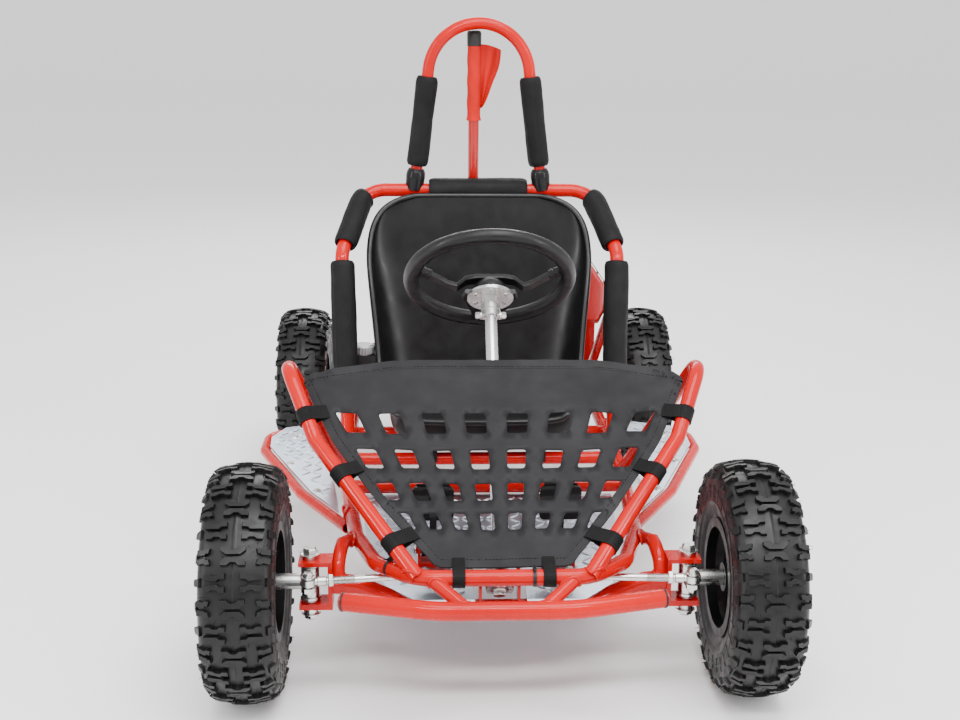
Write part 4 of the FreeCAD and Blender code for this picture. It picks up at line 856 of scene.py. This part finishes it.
def sleeve(name, route, inner, seed, outer=23.0):
    """A foam sleeve with a cloth skin round a straight or bent tube: slightly uneven, its ends tucked in
    and its seam sewn."""
    marks = [0.0]
    for before, after in zip(route, route[1:]):
        marks.append(marks[-1] + (after - before).length / MM)
    length = marks[-1]
    segments = 40

    def place(along):
        k = next((i for i in range(1, len(marks) - 1) if marks[i] >= along), len(marks) - 1)
        t = (along - marks[k - 1]) / (marks[k] - marks[k - 1])
        before = route[k] - route[k - 1]
        return mix(route[k - 1], route[k], t), before.normalized()

    def radius(along, t):
        edge = min(along, length - along)
        tuck = 0.0 if edge > 9 else 3.4 * (1 - edge / 9) ** 2
        lump = noise.noise(Vector((math.cos(t) * 1.2, math.sin(t) * 1.2, along * 0.016 + seed))) * 1.3
        crease = noise.noise(Vector((math.cos(t) * 2.4, math.sin(t) * 2.4, along * 0.07 + seed))) * 0.6
        seam = -1.3 * math.exp(-((math.remainder(t - seed, 2 * math.pi)) / 0.07) ** 2)
        return outer - 0.6 - tuck + lump + crease + seam

    hint = frame_of(route[1] - route[0])[0]
    inside = [(7.0, inner + 0.3), (0.0, inner + 3.0)]
    body = [0, 0.6, 2.2, 5, 9] + [9 + (length - 18) * k / 26 for k in range(1, 26)]
    body += [length - 9, length - 5, length - 2.2, length - 0.6, length]
    plan = inside + [(along, None) for along in body] + [(length - d, r) for d, r in inside[::-1]]
    rings = []
    for along, fixed in plan:
        at, axis = place(along)
        a, b = frame_of(axis, hint)
        hint = a
        rings.append([at + (a * math.cos(t) + b * math.sin(t)) * ((fixed or radius(along, t)) * MM)
                      for t in (2 * math.pi * k / segments for k in range(segments))])
    piece = Piece()
    piece.rings(rings, True, False)
    obj = piece.make(name, FOAM, "chassis", "foam", 60, 0, 1, ["foam_sleeves"])
    return obj


def rounded_corner(before, corner, after, radius, steps=14):
    """Points round a tube's bend, from tangent point to tangent point."""
    a, b = (before - corner).normalized(), (after - corner).normalized()
    half = math.acos(a.dot(b)) / 2
    reach = radius * MM / math.tan(half)
    centre = corner + (a + b).normalized() * (radius * MM / math.sin(half))
    first, last = corner + a * reach - centre, corner + b * reach - centre
    turn = first.angle(last)
    return [centre + (first * math.sin(turn * (1 - k / steps)) + last * math.sin(turn * k / steps))
            / math.sin(turn) for k in range(steps + 1)]


def add_foam():
    def along(p, q, d):
        return p + (q - p).normalized() * (d * MM)

    foot, top = S(118, 795, 610), S(82.4, 795, 900)
    bend = rounded_corner(RING, CORNER, S(0, 795, 596), 50)
    routes = [("lower", [along(RING, FOOT, 17), along(RING, FOOT, 285)], 12.5, 23.0),
              ("upper", [along(RING, CORNER, 17)] + bend[:6], 12.5, 22.0),
              ("hoop", [along(foot, top, 32), along(foot, top, 196)], 11.0, 20.5)]
    for number, (word, route, inner, outer) in enumerate(routes):
        sleeve("foam_%s_right" % word, route, inner, 1.3 + number, outer)
        sleeve("foam_%s_left" % word, [flipped(p) for p in route], inner, 4.1 + number, outer)
    sleeve("foam_back", [S(-92, 795, 596), S(92, 795, 596)], 12.5, 2.2)


add_foam()

# ---------------------------------------------------------------- seat

SEAT_LINE = [(458, 246), (462, 226), (474, 204), (500, 190), (560, 184), (620, 183), (672, 185), (706, 196),
             (729, 222), (741, 262), (750, 320), (757, 380), (763, 440), (767, 490), (770, 530), (772, 555),
             (773.5, 571), (774.3, 582), (774.6, 588)]
SEAT_WIDTH = [140, 148, 156, 162, 166, 168, 170, 172, 176, 180, 184, 190, 197, 202, 198, 188, 173, 151, 124]
SEAT_SIDE = [18, 34, 56, 74, 92, 104, 118, 132, 128, 122, 114, 98, 82, 60, 44, 32, 22, 13, 6]


def add_seat():
    """A bucket shell: a line from the front lip to the top of the back, with a U section along it and a
    rolled rim all round."""
    samples = 4
    rows = []
    count = len(SEAT_LINE)

    def spline(values, k, t):
        p = [values[max(0, min(count - 1, k + i - 1))] for i in range(4)]
        return 0.5 * (2 * p[1] + (p[2] - p[0]) * t + (2 * p[0] - 5 * p[1] + 4 * p[2] - p[3]) * t * t
                      + (3 * p[1] - p[0] - 3 * p[2] + p[3]) * t ** 3)

    stations, heights = [p[0] for p in SEAT_LINE], [p[1] for p in SEAT_LINE]
    for k in range(count - 1):
        for i in range(samples):
            t = i / samples
            rows.append([spline(v, k, t) for v in (stations, heights, SEAT_WIDTH, SEAT_SIDE)])
    rows.append([stations[-1], heights[-1], SEAT_WIDTH[-1], SEAT_SIDE[-1]])

    def section(width, side):
        """(x, rise) points across the seat, from one edge to the other."""
        half = []
        power = 0.56
        for k in range(15):
            a = math.pi / 2 * k / 14
            half.append((width * math.sin(a) ** power, side * (1 - math.cos(a) ** power)))
        return [(-x, n) for x, n in half[:0:-1]] + half

    travelled, rings = 0.0, []
    for k, (station, height, width, side) in enumerate(rows):
        if k:
            travelled += math.dist(rows[k - 1][:2], (station, height))
        t = min(1.0, max(0.0, (travelled - 110) / 330))
        lean = math.radians(97) * t * t * (3 - 2 * t)
        rise = Vector((0, -math.sin(lean), math.cos(lean)))
        rings.append([S(x, station, height) + rise * (n * MM) for x, n in section(width, side)])
    piece = Piece()
    piece.rings(rings, False, False)
    seat = piece.make("seat_bucket", SEAT, "chassis", "seat_plastic", 0, 0, 0, ["seat_shell"])
    thicken(seat, 4.5, -1.0)
    modifier = seat.modifiers.new("smooth", "SUBSURF")
    modifier.levels = modifier.render_levels = 1
    edge = rings[0][:] + [ring[-1] for ring in rings[1:-1]] + rings[-1][::-1]
    edge += [ring[0] for ring in rings[-2:0:-1]]
    edge = [p for k, p in enumerate(edge) if (p - edge[k - 1]).length > 0.003]
    for _ in range(2):
        edge = [(edge[k - 1] + edge[k] * 2 + edge[(k + 1) % len(edge)]) / 4 for k in range(len(edge))]
    lip = Piece()
    lip.tube(edge + edge[:2], 5.4, 14, False)
    lip.make("seat_lip", SEAT, "chassis", "seat_plastic", 0)
    bolts = Piece()
    for side in (1, -1):
        for station in (520, 668):
            bolts.dome(S(side * 95, station, 186), Z, 9, 3)
    bolts.make("seat_bolts", ZINC, "chassis", "zinc")
    slots = Piece()
    slot_height = 505
    for side in (1, -1):
        at = S(side * 150, 764, slot_height)
        ring = [at + X * (math.cos(t) * 6 * MM) + Vector((0, 0.1, 1)) * (math.sin(t) * 22 * MM)
                for t in (2 * math.pi * k / 24 for k in range(24))]
        slots.slab(ring, Vector((0, -1, 0.1)), 2.2)
    slots.make("seat_slot_liners", BLACK, "chassis", "black_plastic", 30, 0.6)


add_seat()

# ---------------------------------------------------------------- steering

HUB, SHAFT_FOOT = S(0, 325, 491), S(0, 5, 146)
UP_SHAFT = (HUB - SHAFT_FOOT).normalized()
AHEAD = UP_SHAFT.cross(-X)
RIM_CENTRE = HUB + UP_SHAFT * 0.036


def on_wheel(x, ahead, up):
    """A point of the steering wheel, from the hub: across, towards the kart's front and up the shaft."""
    return HUB + X * (x * MM) + AHEAD * (ahead * MM) + UP_SHAFT * (up * MM)


def add_wheel():
    rim = Piece()
    turns, segments = 96, 20
    rings = []
    for k in range(turns):
        t = 2 * math.pi * k / turns
        outward = X * math.cos(t) + AHEAD * math.sin(t)
        centre = RIM_CENTRE + outward * (123.5 * MM)
        ring = []
        for i in range(segments):
            s = 2 * math.pi * i / segments
            grip = 0.5 * math.sin(t * 30) if math.sin(s) < -0.3 and math.cos(s) < 0.3 else 0.0
            radius = 12.3 + grip
            ring.append(centre + outward * (radius * math.cos(s) * MM)
                        + UP_SHAFT * (radius * 0.96 * math.sin(s) * MM))
        rings.append(ring)
    rings.append(rings[0])
    rim.rings(rings, True, False)
    for side in (1, -1):
        # the raised gull-wing bar across the wheel
        line = [(0, 9, 31), (22, 9, 31), (38, 7, 29), (52, 1, 21), (66, 4, 24), (84, 11, 31), (104, 19, 37),
                (115, 23, 39)]
        section = ((-9, -4), (9, -4), (9.5, 0), (7, 5), (-7, 5), (-9.5, 0))
        rings = []
        for k, (x, y, z) in enumerate(line):
            wide = 1.15 if k < 3 else 0.95
            rings.append([on_wheel(side * x, y + u * wide * 0.9, z + v) for u, v in section])
        rim.rings(rings, True, True)
        rim.lathe(on_wheel(side * 93, 14.5, 34), X * side + AHEAD * 0.4 + UP_SHAFT * 0.25,
                  [(0, 8), (1, 9.6), (7, 9.6), (7.6, 8.4), (9, 8.4), (9.6, 9.6), (17, 9.6), (18, 8)],
                  6, True, 0.5)
    # the flat lower pad that runs from the hub down to the rim
    edge = [(40, 6), (44, -14), (36, -46), (27, -84), (24, -112)]
    pad = [(-40, 6)] + edge + [(-x, y) for x, y in reversed(edge[1:])]
    rings = []
    for lift, grow in ((6, 0.94), (8, 1.0), (13, 1.0), (15, 0.92)):
        rings.append([on_wheel(x * grow, y, lift + 21 * min(1.0, max(0.0, -y / 100)) ** 1.2) for x, y in pad])
    rim.rings(rings, True, True)
    rim.lathe(on_wheel(0, 0, 5.2), UP_SHAFT, [(0, 24), (2, 27), (10, 27), (18, 24), (24, 18), (25, 8)], 40)
    rim.make("steering_rim", GRIP, "steering", "grip_rubber", 40, 0.8, 0, ["steering_wheel"])
    bolts = Piece()
    for k in range(6):
        a = math.radians(30 + 60 * k)
        bolts.dome(on_wheel(27 * math.cos(a), 27 * math.sin(a), 0), -UP_SHAFT, 4, 1.8)
    bolts.lathe(on_wheel(0, 0, -33), UP_SHAFT,
                [(0, 10), (0, 13), (1, 14), (11, 14), (12, 13), (12, 10)], 28, False)
    for side in (1, -1):
        bolts.bolt(on_wheel(side * 16, -5, -27), X * side, 10, 7, False)
        bolts.lathe(on_wheel(side * 8, -5, -27), X * side, [(0, 6.5), (8.5, 6.5), (8.5, 4)], 18)
    bolts.make("hub_bolts", ZINC, "steering", "zinc")


add_wheel()


def add_front_end():
    """Nuts, pins, rod-end necks and grease fittings of the steering gear."""
    for side, word in ((1, "right"), (-1, "left")):
        pieces = Piece()
        kingpin = S(side * 262, 0, 165)
        for z in (140, 188):
            pieces.lathe(kingpin + Z * ((z - 165) * MM), Z, [(0, 13.4), (1, 14.2), (4, 14.2), (5, 13.4)], 26)
        pieces.lathe(kingpin + Vector((0, -12.6, -8)) * MM, -Y,
                     [(0, 3), (4, 3), (4, 2), (8, 1.6), (9, 2.2), (10, 1)], 10)
        pieces.bolt(S(side * 262, -38, 167.6), -Z, 12, 6)
        pieces.bolt(S(side * 262, -38, 187.6), Z, 12, 6)
        pieces.lathe(S(side * (347.5 + 46), 0, 165), X * side, [(0, 8), (5, 8), (6.5, 6.5)], 20)
        pieces.make("knuckle_fittings_" + word, ZINC, "knuckle_" + word, "zinc")
        rods = Piece()
        outer = S(side * 262, -38, 181)
        inner = SHAFT_FOOT + UP_SHAFT * ((8.9 if side > 0 else 16.2) * MM) + AHEAD * (38 * MM)
        along = (inner - outer).normalized()
        for at, way in ((outer + along * (12 * MM), along), (inner - along * (27 * MM), -along)):
            rods.lathe(at, way, [(0, 5.2), (1, 6.6), (12, 6.6), (13, 5.2)], 20)
            rods.lathe(at + way * (15 * MM), way, [(0, 8), (1, 9), (6, 9), (7, 8)], 6)
        threads = []
        for k in range(24):
            threads += [(30 + k * 1.4, 5.3), (30.7 + k * 1.4, 5.9)]
        rods.lathe(outer, along, threads, 18)
        rods.make("tie_rod_fittings_" + word, ZINC, "tie_rod_" + word, "zinc")
        caps = Piece()
        caps.bolt(S(side * 262, 0, 206), Z, 17, 8)
        caps.bolt(S(side * 262, 0, 119), -Z, 17, 8)
        caps.make("kingpin_nuts_" + word, ZINC, "chassis", "zinc")
    pitman = Piece()
    bolt = SHAFT_FOOT + AHEAD * (38 * MM)
    pitman.bolt(bolt - UP_SHAFT * (1.4 * MM), -UP_SHAFT, 13, 6)
    pitman.bolt(bolt + UP_SHAFT * (30.5 * MM), UP_SHAFT, 13, 6)
    pitman.bolt(SHAFT_FOOT - UP_SHAFT * (1.4 * MM), -UP_SHAFT, 17, 6)
    pitman.make("pitman_nuts", ZINC, "steering", "zinc")


add_front_end()

# ---------------------------------------------------------------- floor tread pattern and ties

def lens(piece, centre, angle, long_half=11.0, wide_half=2.9, height=1.7):
    """One raised bar of the tread pattern."""
    rows = []
    for level, shrink_by in ((0.0, 1.0), (0.6, 0.9), (1.0, 0.45)):
        ring = []
        for k in range(14):
            t = 2 * math.pi * k / 14
            u = math.cos(t) * long_half * shrink_by
            v = math.sin(t) * wide_half * shrink_by * (1 - 0.35 * abs(math.cos(t)))
            ring.append(centre + Vector((u * math.cos(angle) - v * math.sin(angle),
                                         u * math.sin(angle) + v * math.cos(angle), height * level)) * MM)
        rows.append(ring)
    piece.rings(rows, True, True)


def tread_pattern(name, outline, top, clear=()):
    """Pairs of crossed bars over a plate, kept inside its outline."""
    shape = [Vector(p) for p in outline]
    inner = shrink(shape, 13 if sum(a.x * b.y - b.x * a.y for a, b in zip(shape, shape[1:] + shape[:1])) > 0
                   else -13)
    piece = Piece()
    pitch = 19.0
    low_x, high_x = min(p.x for p in shape), max(p.x for p in shape)
    low_y, high_y = min(p.y for p in shape), max(p.y for p in shape)
    rows, columns = int((high_y - low_y) / pitch) + 2, int((high_x - low_x) / pitch) + 2
    for r in range(rows):
        for c in range(columns):
            p = Vector((low_x + c * pitch, low_y + r * pitch))
            if inside_loop(p, inner) and all((p - Vector(q)).length > reach for q, reach in clear):
                lens(piece, S(p.x, p.y, top), math.radians(45 if (r + c) % 2 else -45))
    piece.make(name, PLATE, "chassis", "tread_plate", 50)


FLOOR = [(-36, -31), (-118, -31), (-160, 18), (-184, 100), (-208, 371), (208, 371), (184, 100), (160, 18),
         (118, -31), (36, -31), (36, 34), (-36, 34)]
FLOOR_SCREWS = [(side * x, s) for side in (-1, 1) for x, s in ((104, 70), (104, 200), (104, 330))]
STEP = [(236, 232), (286, 322), (374, 545), (377, 600), (356, 652), (266, 690), (262, 460), (259, 420),
        (243, 300)]
STEP_SCREWS = [(276, 322), (331, 455), (336, 600)]
clevises = [((side * 92, 96), 42) for side in (-1, 1)]
tread_pattern("floor_tread", FLOOR, 149, [(p, 14) for p in FLOOR_SCREWS] + clevises
              + [((side * x, 0), 26) for side in (-1, 1) for x in (104, 125, 145)] + [((0, 40), 38)])
tread_pattern("step_tread_right", STEP, 175.5, [(p, 13) for p in STEP_SCREWS])
tread_pattern("step_tread_left", [(-x, s) for x, s in STEP], 175.5, [((-x, s), 13) for x, s in STEP_SCREWS])


def add_screws_and_ties():
    piece = Piece()
    for x, s in FLOOR_SCREWS:
        piece.dome(S(x, s, 150.2), Z, 6.2, 2.4)
    for side in (1, -1):
        for x, s in STEP_SCREWS:
            piece.dome(S(side * x, s, 176.7), Z, 6.2, 2.4)
    piece.make("plate_screws", ZINC, "chassis", "zinc")
    ties = Piece()
    for x, station, z, axis, radius in ((-150, -44, 202.3, flipped(NOSE[4] - NOSE[3]), 11),
                                        (40, -85, 205.5, X, 11)):
        at = S(x, station, z)
        ties.lathe(at - axis.normalized() * (2.4 * MM), axis,
                   [(0, radius + 0.1), (0, radius + 1.3), (4.8, radius + 1.3), (4.8, radius + 0.1)],
                   32, False)
        a, b = frame_of(axis)
        head = at + a * ((radius + 2.4) * MM)
        ties.tube([head - b * (4 * MM), head + b * (4 * MM)], 3.2, 6)
        ties.tube([head + b * (4 * MM), head + b * (11 * MM) + a * (3 * MM)], 1.4, 6)
    ties.make("cable_ties", BLACK, "chassis", "black_plastic")


add_screws_and_ties()


def add_brace_feet():
    """Where the axle braces curve down on to the axle beam."""
    piece = Piece()
    for side in (1, -1):
        points = [(219, 42, 204.5), (221, 28, 201), (222.5, 15, 195),
                  (223.5, 6, 187), (224, 1, 177), (224, 0, 163)]
        piece.tube([S(side * x, s, z) for x, s, z in points], 9.6, 20)
        saddle(piece, S(side * 224, 0, 160), Z + X * 0.01, 9.6, X, 14)
    piece.make("brace_feet", RED, "chassis", "red_paint", 60)
    rings = Piece()
    for side in (1, -1):
        outward = Vector((side * 122, 33, 0)).normalized()
        rings.lathe(S(side * 212, -94, 178) - outward * (1.4 * MM), outward,
                    [(0, 12.4), (0, 13.1), (2.6, 13.1), (2.6, 12.4)], 36, False)
    rings.make("bumper_seals", BLACK, "chassis", "black_plastic")


add_brace_feet()

# ---------------------------------------------------------------- flag

def add_flag():
    pole = S(-8, 819, 0)
    top, bottom = 862, 748
    columns, rows = 22, 30
    points, faces = [], []
    for r in range(rows + 1):
        v = r / rows
        z = top - (top - bottom) * v
        breadth = 2 + 36 * (1 - v ** 2.6) ** 0.8 * (0.86 + 0.14 * math.cos(v * 4))
        for c in range(columns + 1):
            u = c / columns
            fold = math.sin(u * 9 + v * 2.2) * 5.5 * u + math.sin(u * 4 - v * 5) * 2.5 * u
            droop = 10 * u * u * (1 - v) + 3 * u * math.sin(v * 7)
            points.append(pole + Vector((11.5 + u * breadth, 1.5 + fold - 3 * u, z - droop)) * MM)
    for r in range(rows):
        for c in range(columns):
            i = r * (columns + 1) + c
            faces.append([i, i + 1, i + columns + 2, i + columns + 1])
    piece = Piece()
    piece.put(points, faces)
    flag = piece.make("flag_sheet", FLAG, "chassis", "flag_cloth", 0, 0, 0, ["flag_cloth"])
    uv = flag.data.uv_layers.new(name="flat")
    for loop in flag.data.loops:
        p = flag.data.vertices[loop.vertex_index].co
        uv.data[loop.index].uv = (p.x, p.z)
    thicken(flag, 0.6)
    # the size and area declared are the flag's silhouette, without the cloth taken up by its folds
    tube = Piece()
    tube.lathe(pole, Z, [(580, 9.4), (581, 10), (735, 10)], 28)
    tube.make("flag_pole_tube", RED_PLASTIC, "chassis", "red_plastic", 40, 0, 0, ["flag_pole"])
    hem = Piece()
    rings = []
    for k in range(36):
        z = 723 + 140 * k / 35
        swell = 1.2 * math.exp(-(z - 723) / 8) - 0.5 * math.exp(-abs(z - 732) / 3)
        rings.append([pole + Vector((math.cos(t) * (12.6 + swell + 0.5 * math.sin(z * 0.16 + 2 * t)),
                                     math.sin(t) * (12.2 + swell + 0.5 * math.cos(z * 0.13 + 3 * t)), z)) * MM
                      for t in (2 * math.pi * i / 28 for i in range(28))])
    hem.rings(rings, True, True)
    hem.make("flag_hem_tube", FLAG, "chassis", "flag_cloth", 50)
    cap = Piece()
    cap.lathe(pole, Z, [(858, 11), (858.5, 13), (882, 13.4), (886, 11.5), (887.5, 6)], 28)
    cap.make("flag_pole_cap", BLACK, "chassis", "black_plastic", 40, 0.6)


add_flag()

# ---------------------------------------------------------------- engine details

CHAIN_X = 50


def chain_route():
    """Centres of the chain's pins round both sprockets, one pitch apart, starting on the axle sprocket."""
    pitch = 9.525
    big, small = pitch / 2 / math.sin(math.pi / 48), pitch / 2 / math.sin(math.pi / 12)
    axle, crank = Vector((950, 165)), Vector((1000, 321))
    reach = crank - axle
    lean = math.asin((big - small) / reach.length)
    heading = math.atan2(reach.y, reach.x)
    path = []

    def arc(centre, radius, start, end):
        steps = 60
        for k in range(steps + 1):
            a = start + (end - start) * k / steps
            path.append(centre + Vector((math.cos(a), math.sin(a))) * radius)

    side = math.pi / 2 - lean
    arc(axle, big, heading + side, heading - side + 2 * math.pi)
    arc(crank, small, heading - side, heading + side)
    path.append(path[0])
    total = sum((b - a).length for a, b in zip(path, path[1:]))
    links = 2 * round(total / pitch / 2)
    spacing = total / links
    pins, travelled, due = [], 0.0, 0.0
    for a, b in zip(path, path[1:]):
        run = (b - a).length
        while run > 0 and due <= travelled + run + 1e-6 and len(pins) < links:
            pins.append(a + (b - a) * ((due - travelled) / run))
            due += spacing
        travelled += run
    return pins


def add_chain():
    piece = Piece()
    pins = chain_route()
    for k, pin in enumerate(pins):
        after = pins[(k + 1) % len(pins)]
        along = (after - pin).normalized()
        across = Vector((-along.y, along.x))
        offsets = (3.3, 4.5) if k % 2 else (4.6, 5.8)
        outline = []
        for t in range(16):
            a = 2 * math.pi * t / 16
            u = math.cos(a)
            centre = after if u > 0 else pin
            waist = 3.6
            outline.append(centre + along * (u * waist) + across * (math.sin(a) * waist))
        for sign in (1, -1):
            ring = [S(CHAIN_X + sign * offsets[0], p.x, p.y) for p in outline]
            piece.slab(ring, X * sign, offsets[1] - offsets[0])
        piece.lathe(S(CHAIN_X - 6.4, pin.x, pin.y), X, [(0, 1.4), (0.2, 1.7), (12.6, 1.7), (12.8, 1.4)], 8)
        for sign in (1, -1):
            piece.lathe(S(CHAIN_X + sign * 2.2, pin.x, pin.y), X * sign, [(0, 2.5), (1.1, 2.5)], 10)
    piece.make("roller_chain", STEEL, "chassis", "bright_steel", 40, 0, 0, ["drive_chain"])


add_chain()


def add_engine_details():
    alloy, dark, plastic, zinc = Piece(), Piece(), Piece(), Piece()
    for y, z in ((938, 250), (1058, 250), (938, 372), (1058, 372), (1000, 240), (998, 380)):
        zinc.bolt(S(0.5, y, z), X, 10, 6)
        zinc.bolt(S(-128.5, y, z), -X, 10, 6)
    for x, y in ((-164, 880), (10, 880), (-164, 1070), (10, 1070)):
        zinc.bolt(S(x, y, 230), Z, 13, 8)
    for x, y in ((-120, 930), (-120, 1066)):
        zinc.bolt(S(x, y, 240), Z, 12, 7)
    alloy.lathe(S(1, 1000, 321), X, [(0, 40), (4, 40), (6, 34), (6, 20), (9, 18)], 40)
    # recoil cover: dark bars of painted shade where the vent openings are, centre badge and starter bolts
    for k in range(18):
        a = 2 * math.pi * k / 18
        for r in (46, 58):
            spoke = Vector((0, math.cos(a), math.sin(a)))
            at = S(-204.4 + (0.0 if r == 46 else 2.6), 1000, 321) + spoke * (r * MM)
            tangent = Vector((0, -math.sin(a), math.cos(a)))
            dark.tube([at - tangent * (3 * MM), at + tangent * (3 * MM)], 1.8, 8)
    alloy.lathe(S(-203.6, 1000, 321), -X, [(0, 26), (2, 26), (3, 24), (3, 6), (4.5, 5)], 36)
    for k in range(4):
        a = math.radians(45 + 90 * k)
        zinc.bolt(S(-186, 1000, 321) + Vector((0, math.cos(a), math.sin(a))) * (76.5 * MM), -X, 8, 5)
    # spark plug and its lead
    tilt = math.radians(26)
    bore = Vector((0, -math.cos(tilt), math.sin(tilt)))
    head = S(-65, 955, 345) + bore * 0.116
    up = Vector((0, math.sin(tilt), math.cos(tilt)))
    for row in (-1, 1):
        for col in (-1, 1):
            zinc.bolt(head + X * (col * 30 * MM) + up * (row * 28 * MM), bore, 11, 6)
    plastic.lathe(head, bore, [(0, 11), (4, 11), (6, 9), (20, 8), (22, 9), (34, 8), (36, 5)], 24)
    lead = [head + bore * 0.034, head + bore * 0.048 + Z * 0.008, head + bore * 0.044 + Z * 0.03 - X * 0.02,
            head + bore * 0.01 + Z * 0.05 - X * 0.05, S(-120, 930, 400), S(-126, 962, 380)]
    curve = []
    for k in range(len(lead) - 1):
        p = [lead[max(0, min(len(lead) - 1, k + i - 1))] for i in range(4)]
        for i in range(8):
            t = i / 8
            curve.append(0.5 * (2 * p[1] + (p[2] - p[0]) * t + (2 * p[0] - 5 * p[1] + 4 * p[2] - p[3]) * t * t
                                + (3 * p[1] - p[0] - 3 * p[2] + p[3]) * t ** 3))
    plastic.tube(curve + [lead[-1]], 3.2, 10)
    # air filter lid clip, dark bars of painted shade where the muffler guard slots are, and straps
    plastic.lathe(S(-164, 864, 438), Z, [(0, 16), (3, 16), (4, 14), (9, 7), (12, 6)], 24)
    for k in range(5):
        z = 378 + 11 * k
        dark.tube([S(24, 845.4, z), S(90, 845.4, z)], 2.0, 8)
    for x in (32, 82):
        zinc.dome(S(x, 845.6, 399), -Y, 4, 2.4)
    # tank seam and straps
    tank = [(112, 318), (248, 318), (258, 340), (258, 396), (228, 440), (112, 440)]
    zinc.bolt(S(190, 1031, 330), Y, 9, 5)
    zinc.bolt(S(190, 883, 330), -Y, 9, 5)
    for y in (905, 1010):
        path = [S(x + (2 if x > 180 else -2), y, z + (2 if z > 380 else -2)) for x, z in tank]
        rings = [[p - Y * (8 * MM), p + Y * (8 * MM)] for p in path + path[:1]]
        strap = Piece()
        strap.rings(rings, False, False)
        band_piece = strap.make("tank_strap_%d" % y, DARK, "chassis", "dark_paint", 30)
        thicken(band_piece, 1.6, 0.0)
    alloy.make("engine_castings", ALLOY, "chassis", "cast_alloy", 35, 0.6)
    # dark bars of painted shade standing in for the vent and slot openings
    dark.make("engine_vent_and_slot_shade", DARK, "chassis", "dark_paint")
    plastic.make("engine_rubber", BLACK, "chassis", "black_plastic", 40)
    zinc.make("engine_bolts", ZINC, "chassis", "zinc")
    caps = Piece()
    centre = S(172, 955, 0)
    for k in range(20):
        a = 2 * math.pi * k / 20
        at = centre + Vector((math.cos(a), math.sin(a), 0)) * (26 * MM)
        caps.tube([at + Z * 0.444, at + Z * 0.4545], 1.7, 6)
    caps.make("fuel_cap_ribs", BLACK, "fuel_cap", "black_plastic")
    knob = Piece()
    centre = S(-212, 655, 0)
    for k in range(24):
        a = 2 * math.pi * k / 24
        at = centre + Vector((math.cos(a), math.sin(a), 0)) * (19.6 * MM)
        knob.tube([at + Z * 0.3195, at + Z * 0.3315], 1.4, 6)
    knob.make("knob_ribs", ALLOY, "control_knob", "cast_alloy")


add_engine_details()


def add_pedal_details():
    for word, x in (("throttle", -92), ("brake", 92)):
        tread = Piece()
        for k in range(6):
            z = 224 + 9 * k
            tread.tube([S(x - 24, 98.2 - (z - 244) * 0.12, z), S(x + 24, 98.2 - (z - 244) * 0.12, z)], 2.2, 8)
        tread.make(word + "_pedal_ribs", GRIP, word + "_pedal", "grip_rubber")
        pins = Piece()
        for way in (1, -1):
            pins.lathe(S(x + way * 25, 96, 168), X * way, [(0, 8), (1, 8), (3, 6)], 20)
        pins.make(word + "_pin_clips", ZINC, "chassis", "zinc")


add_pedal_details()

# ---------------------------------------------------------------- studio

def add_stage():
    profile = [(-30, 0), (11, 0)] + [(11 + 5 * math.sin(a), 5 - 5 * math.cos(a))
                                     for a in (math.pi / 2 * k / 12 for k in range(1, 13))] + [(16, 14)]
    points = [(x, y, z) for y, z in profile for x in (-30, 30)]
    faces = [(2 * k, 2 * k + 1, 2 * k + 3, 2 * k + 2) for k in range(len(profile) - 1)]
    floor_mesh = bpy.data.meshes.new("floor")
    floor_mesh.from_pydata(points, [], faces)
    floor_mesh.polygons.foreach_set("use_smooth", [True] * len(faces))
    n = Nodes("pale_floor")
    n.set(Base_Color=(0.92, 0.92, 0.92, 1), Roughness=0.8, Specular_IOR_Level=0.2)
    floor_mesh.materials.append(n.material)
    floor = bpy.data.objects.new("floor", floor_mesh)
    bpy.context.scene.collection.objects.link(floor)
    world = bpy.data.worlds.new("studio")
    bpy.context.scene.world = world
    world.use_nodes = True
    world.node_tree.nodes["Background"].inputs[0].default_value = (1, 1, 1, 1)
    world.node_tree.nodes["Background"].inputs[1].default_value = 1.35
    for name, at, size, power, target in (
            ("key", (0.4, -1.0, 3.2), (2.2, 1.4), 90, (0, 0, 0.3)),
            ("strip", (0.1, -2.2, 2.4), (2.6, 0.2), 60, (0, 0, 0.3)),
            ("left", (-2.6, -1.4, 1.5), (0.16, 2.2), 40, (0, -0.1, 0.35)),
            ("right", (2.6, -1.4, 1.5), (0.16, 2.2), 40, (0, -0.1, 0.35)),
            ("back", (0.0, 3.2, 2.4), (2.4, 0.5), 60, (0, 0.2, 0.4))):
        data = bpy.data.lights.new(name, "AREA")
        data.shape = "RECTANGLE"
        data.size, data.size_y = size
        data.energy = power
        light = bpy.data.objects.new(name, data)
        light.location = at
        light.rotation_mode = "QUATERNION"
        light.rotation_quaternion = (Vector(target) - Vector(at)).to_track_quat("-Z", "Y")
        bpy.context.scene.collection.objects.link(light)


add_stage()
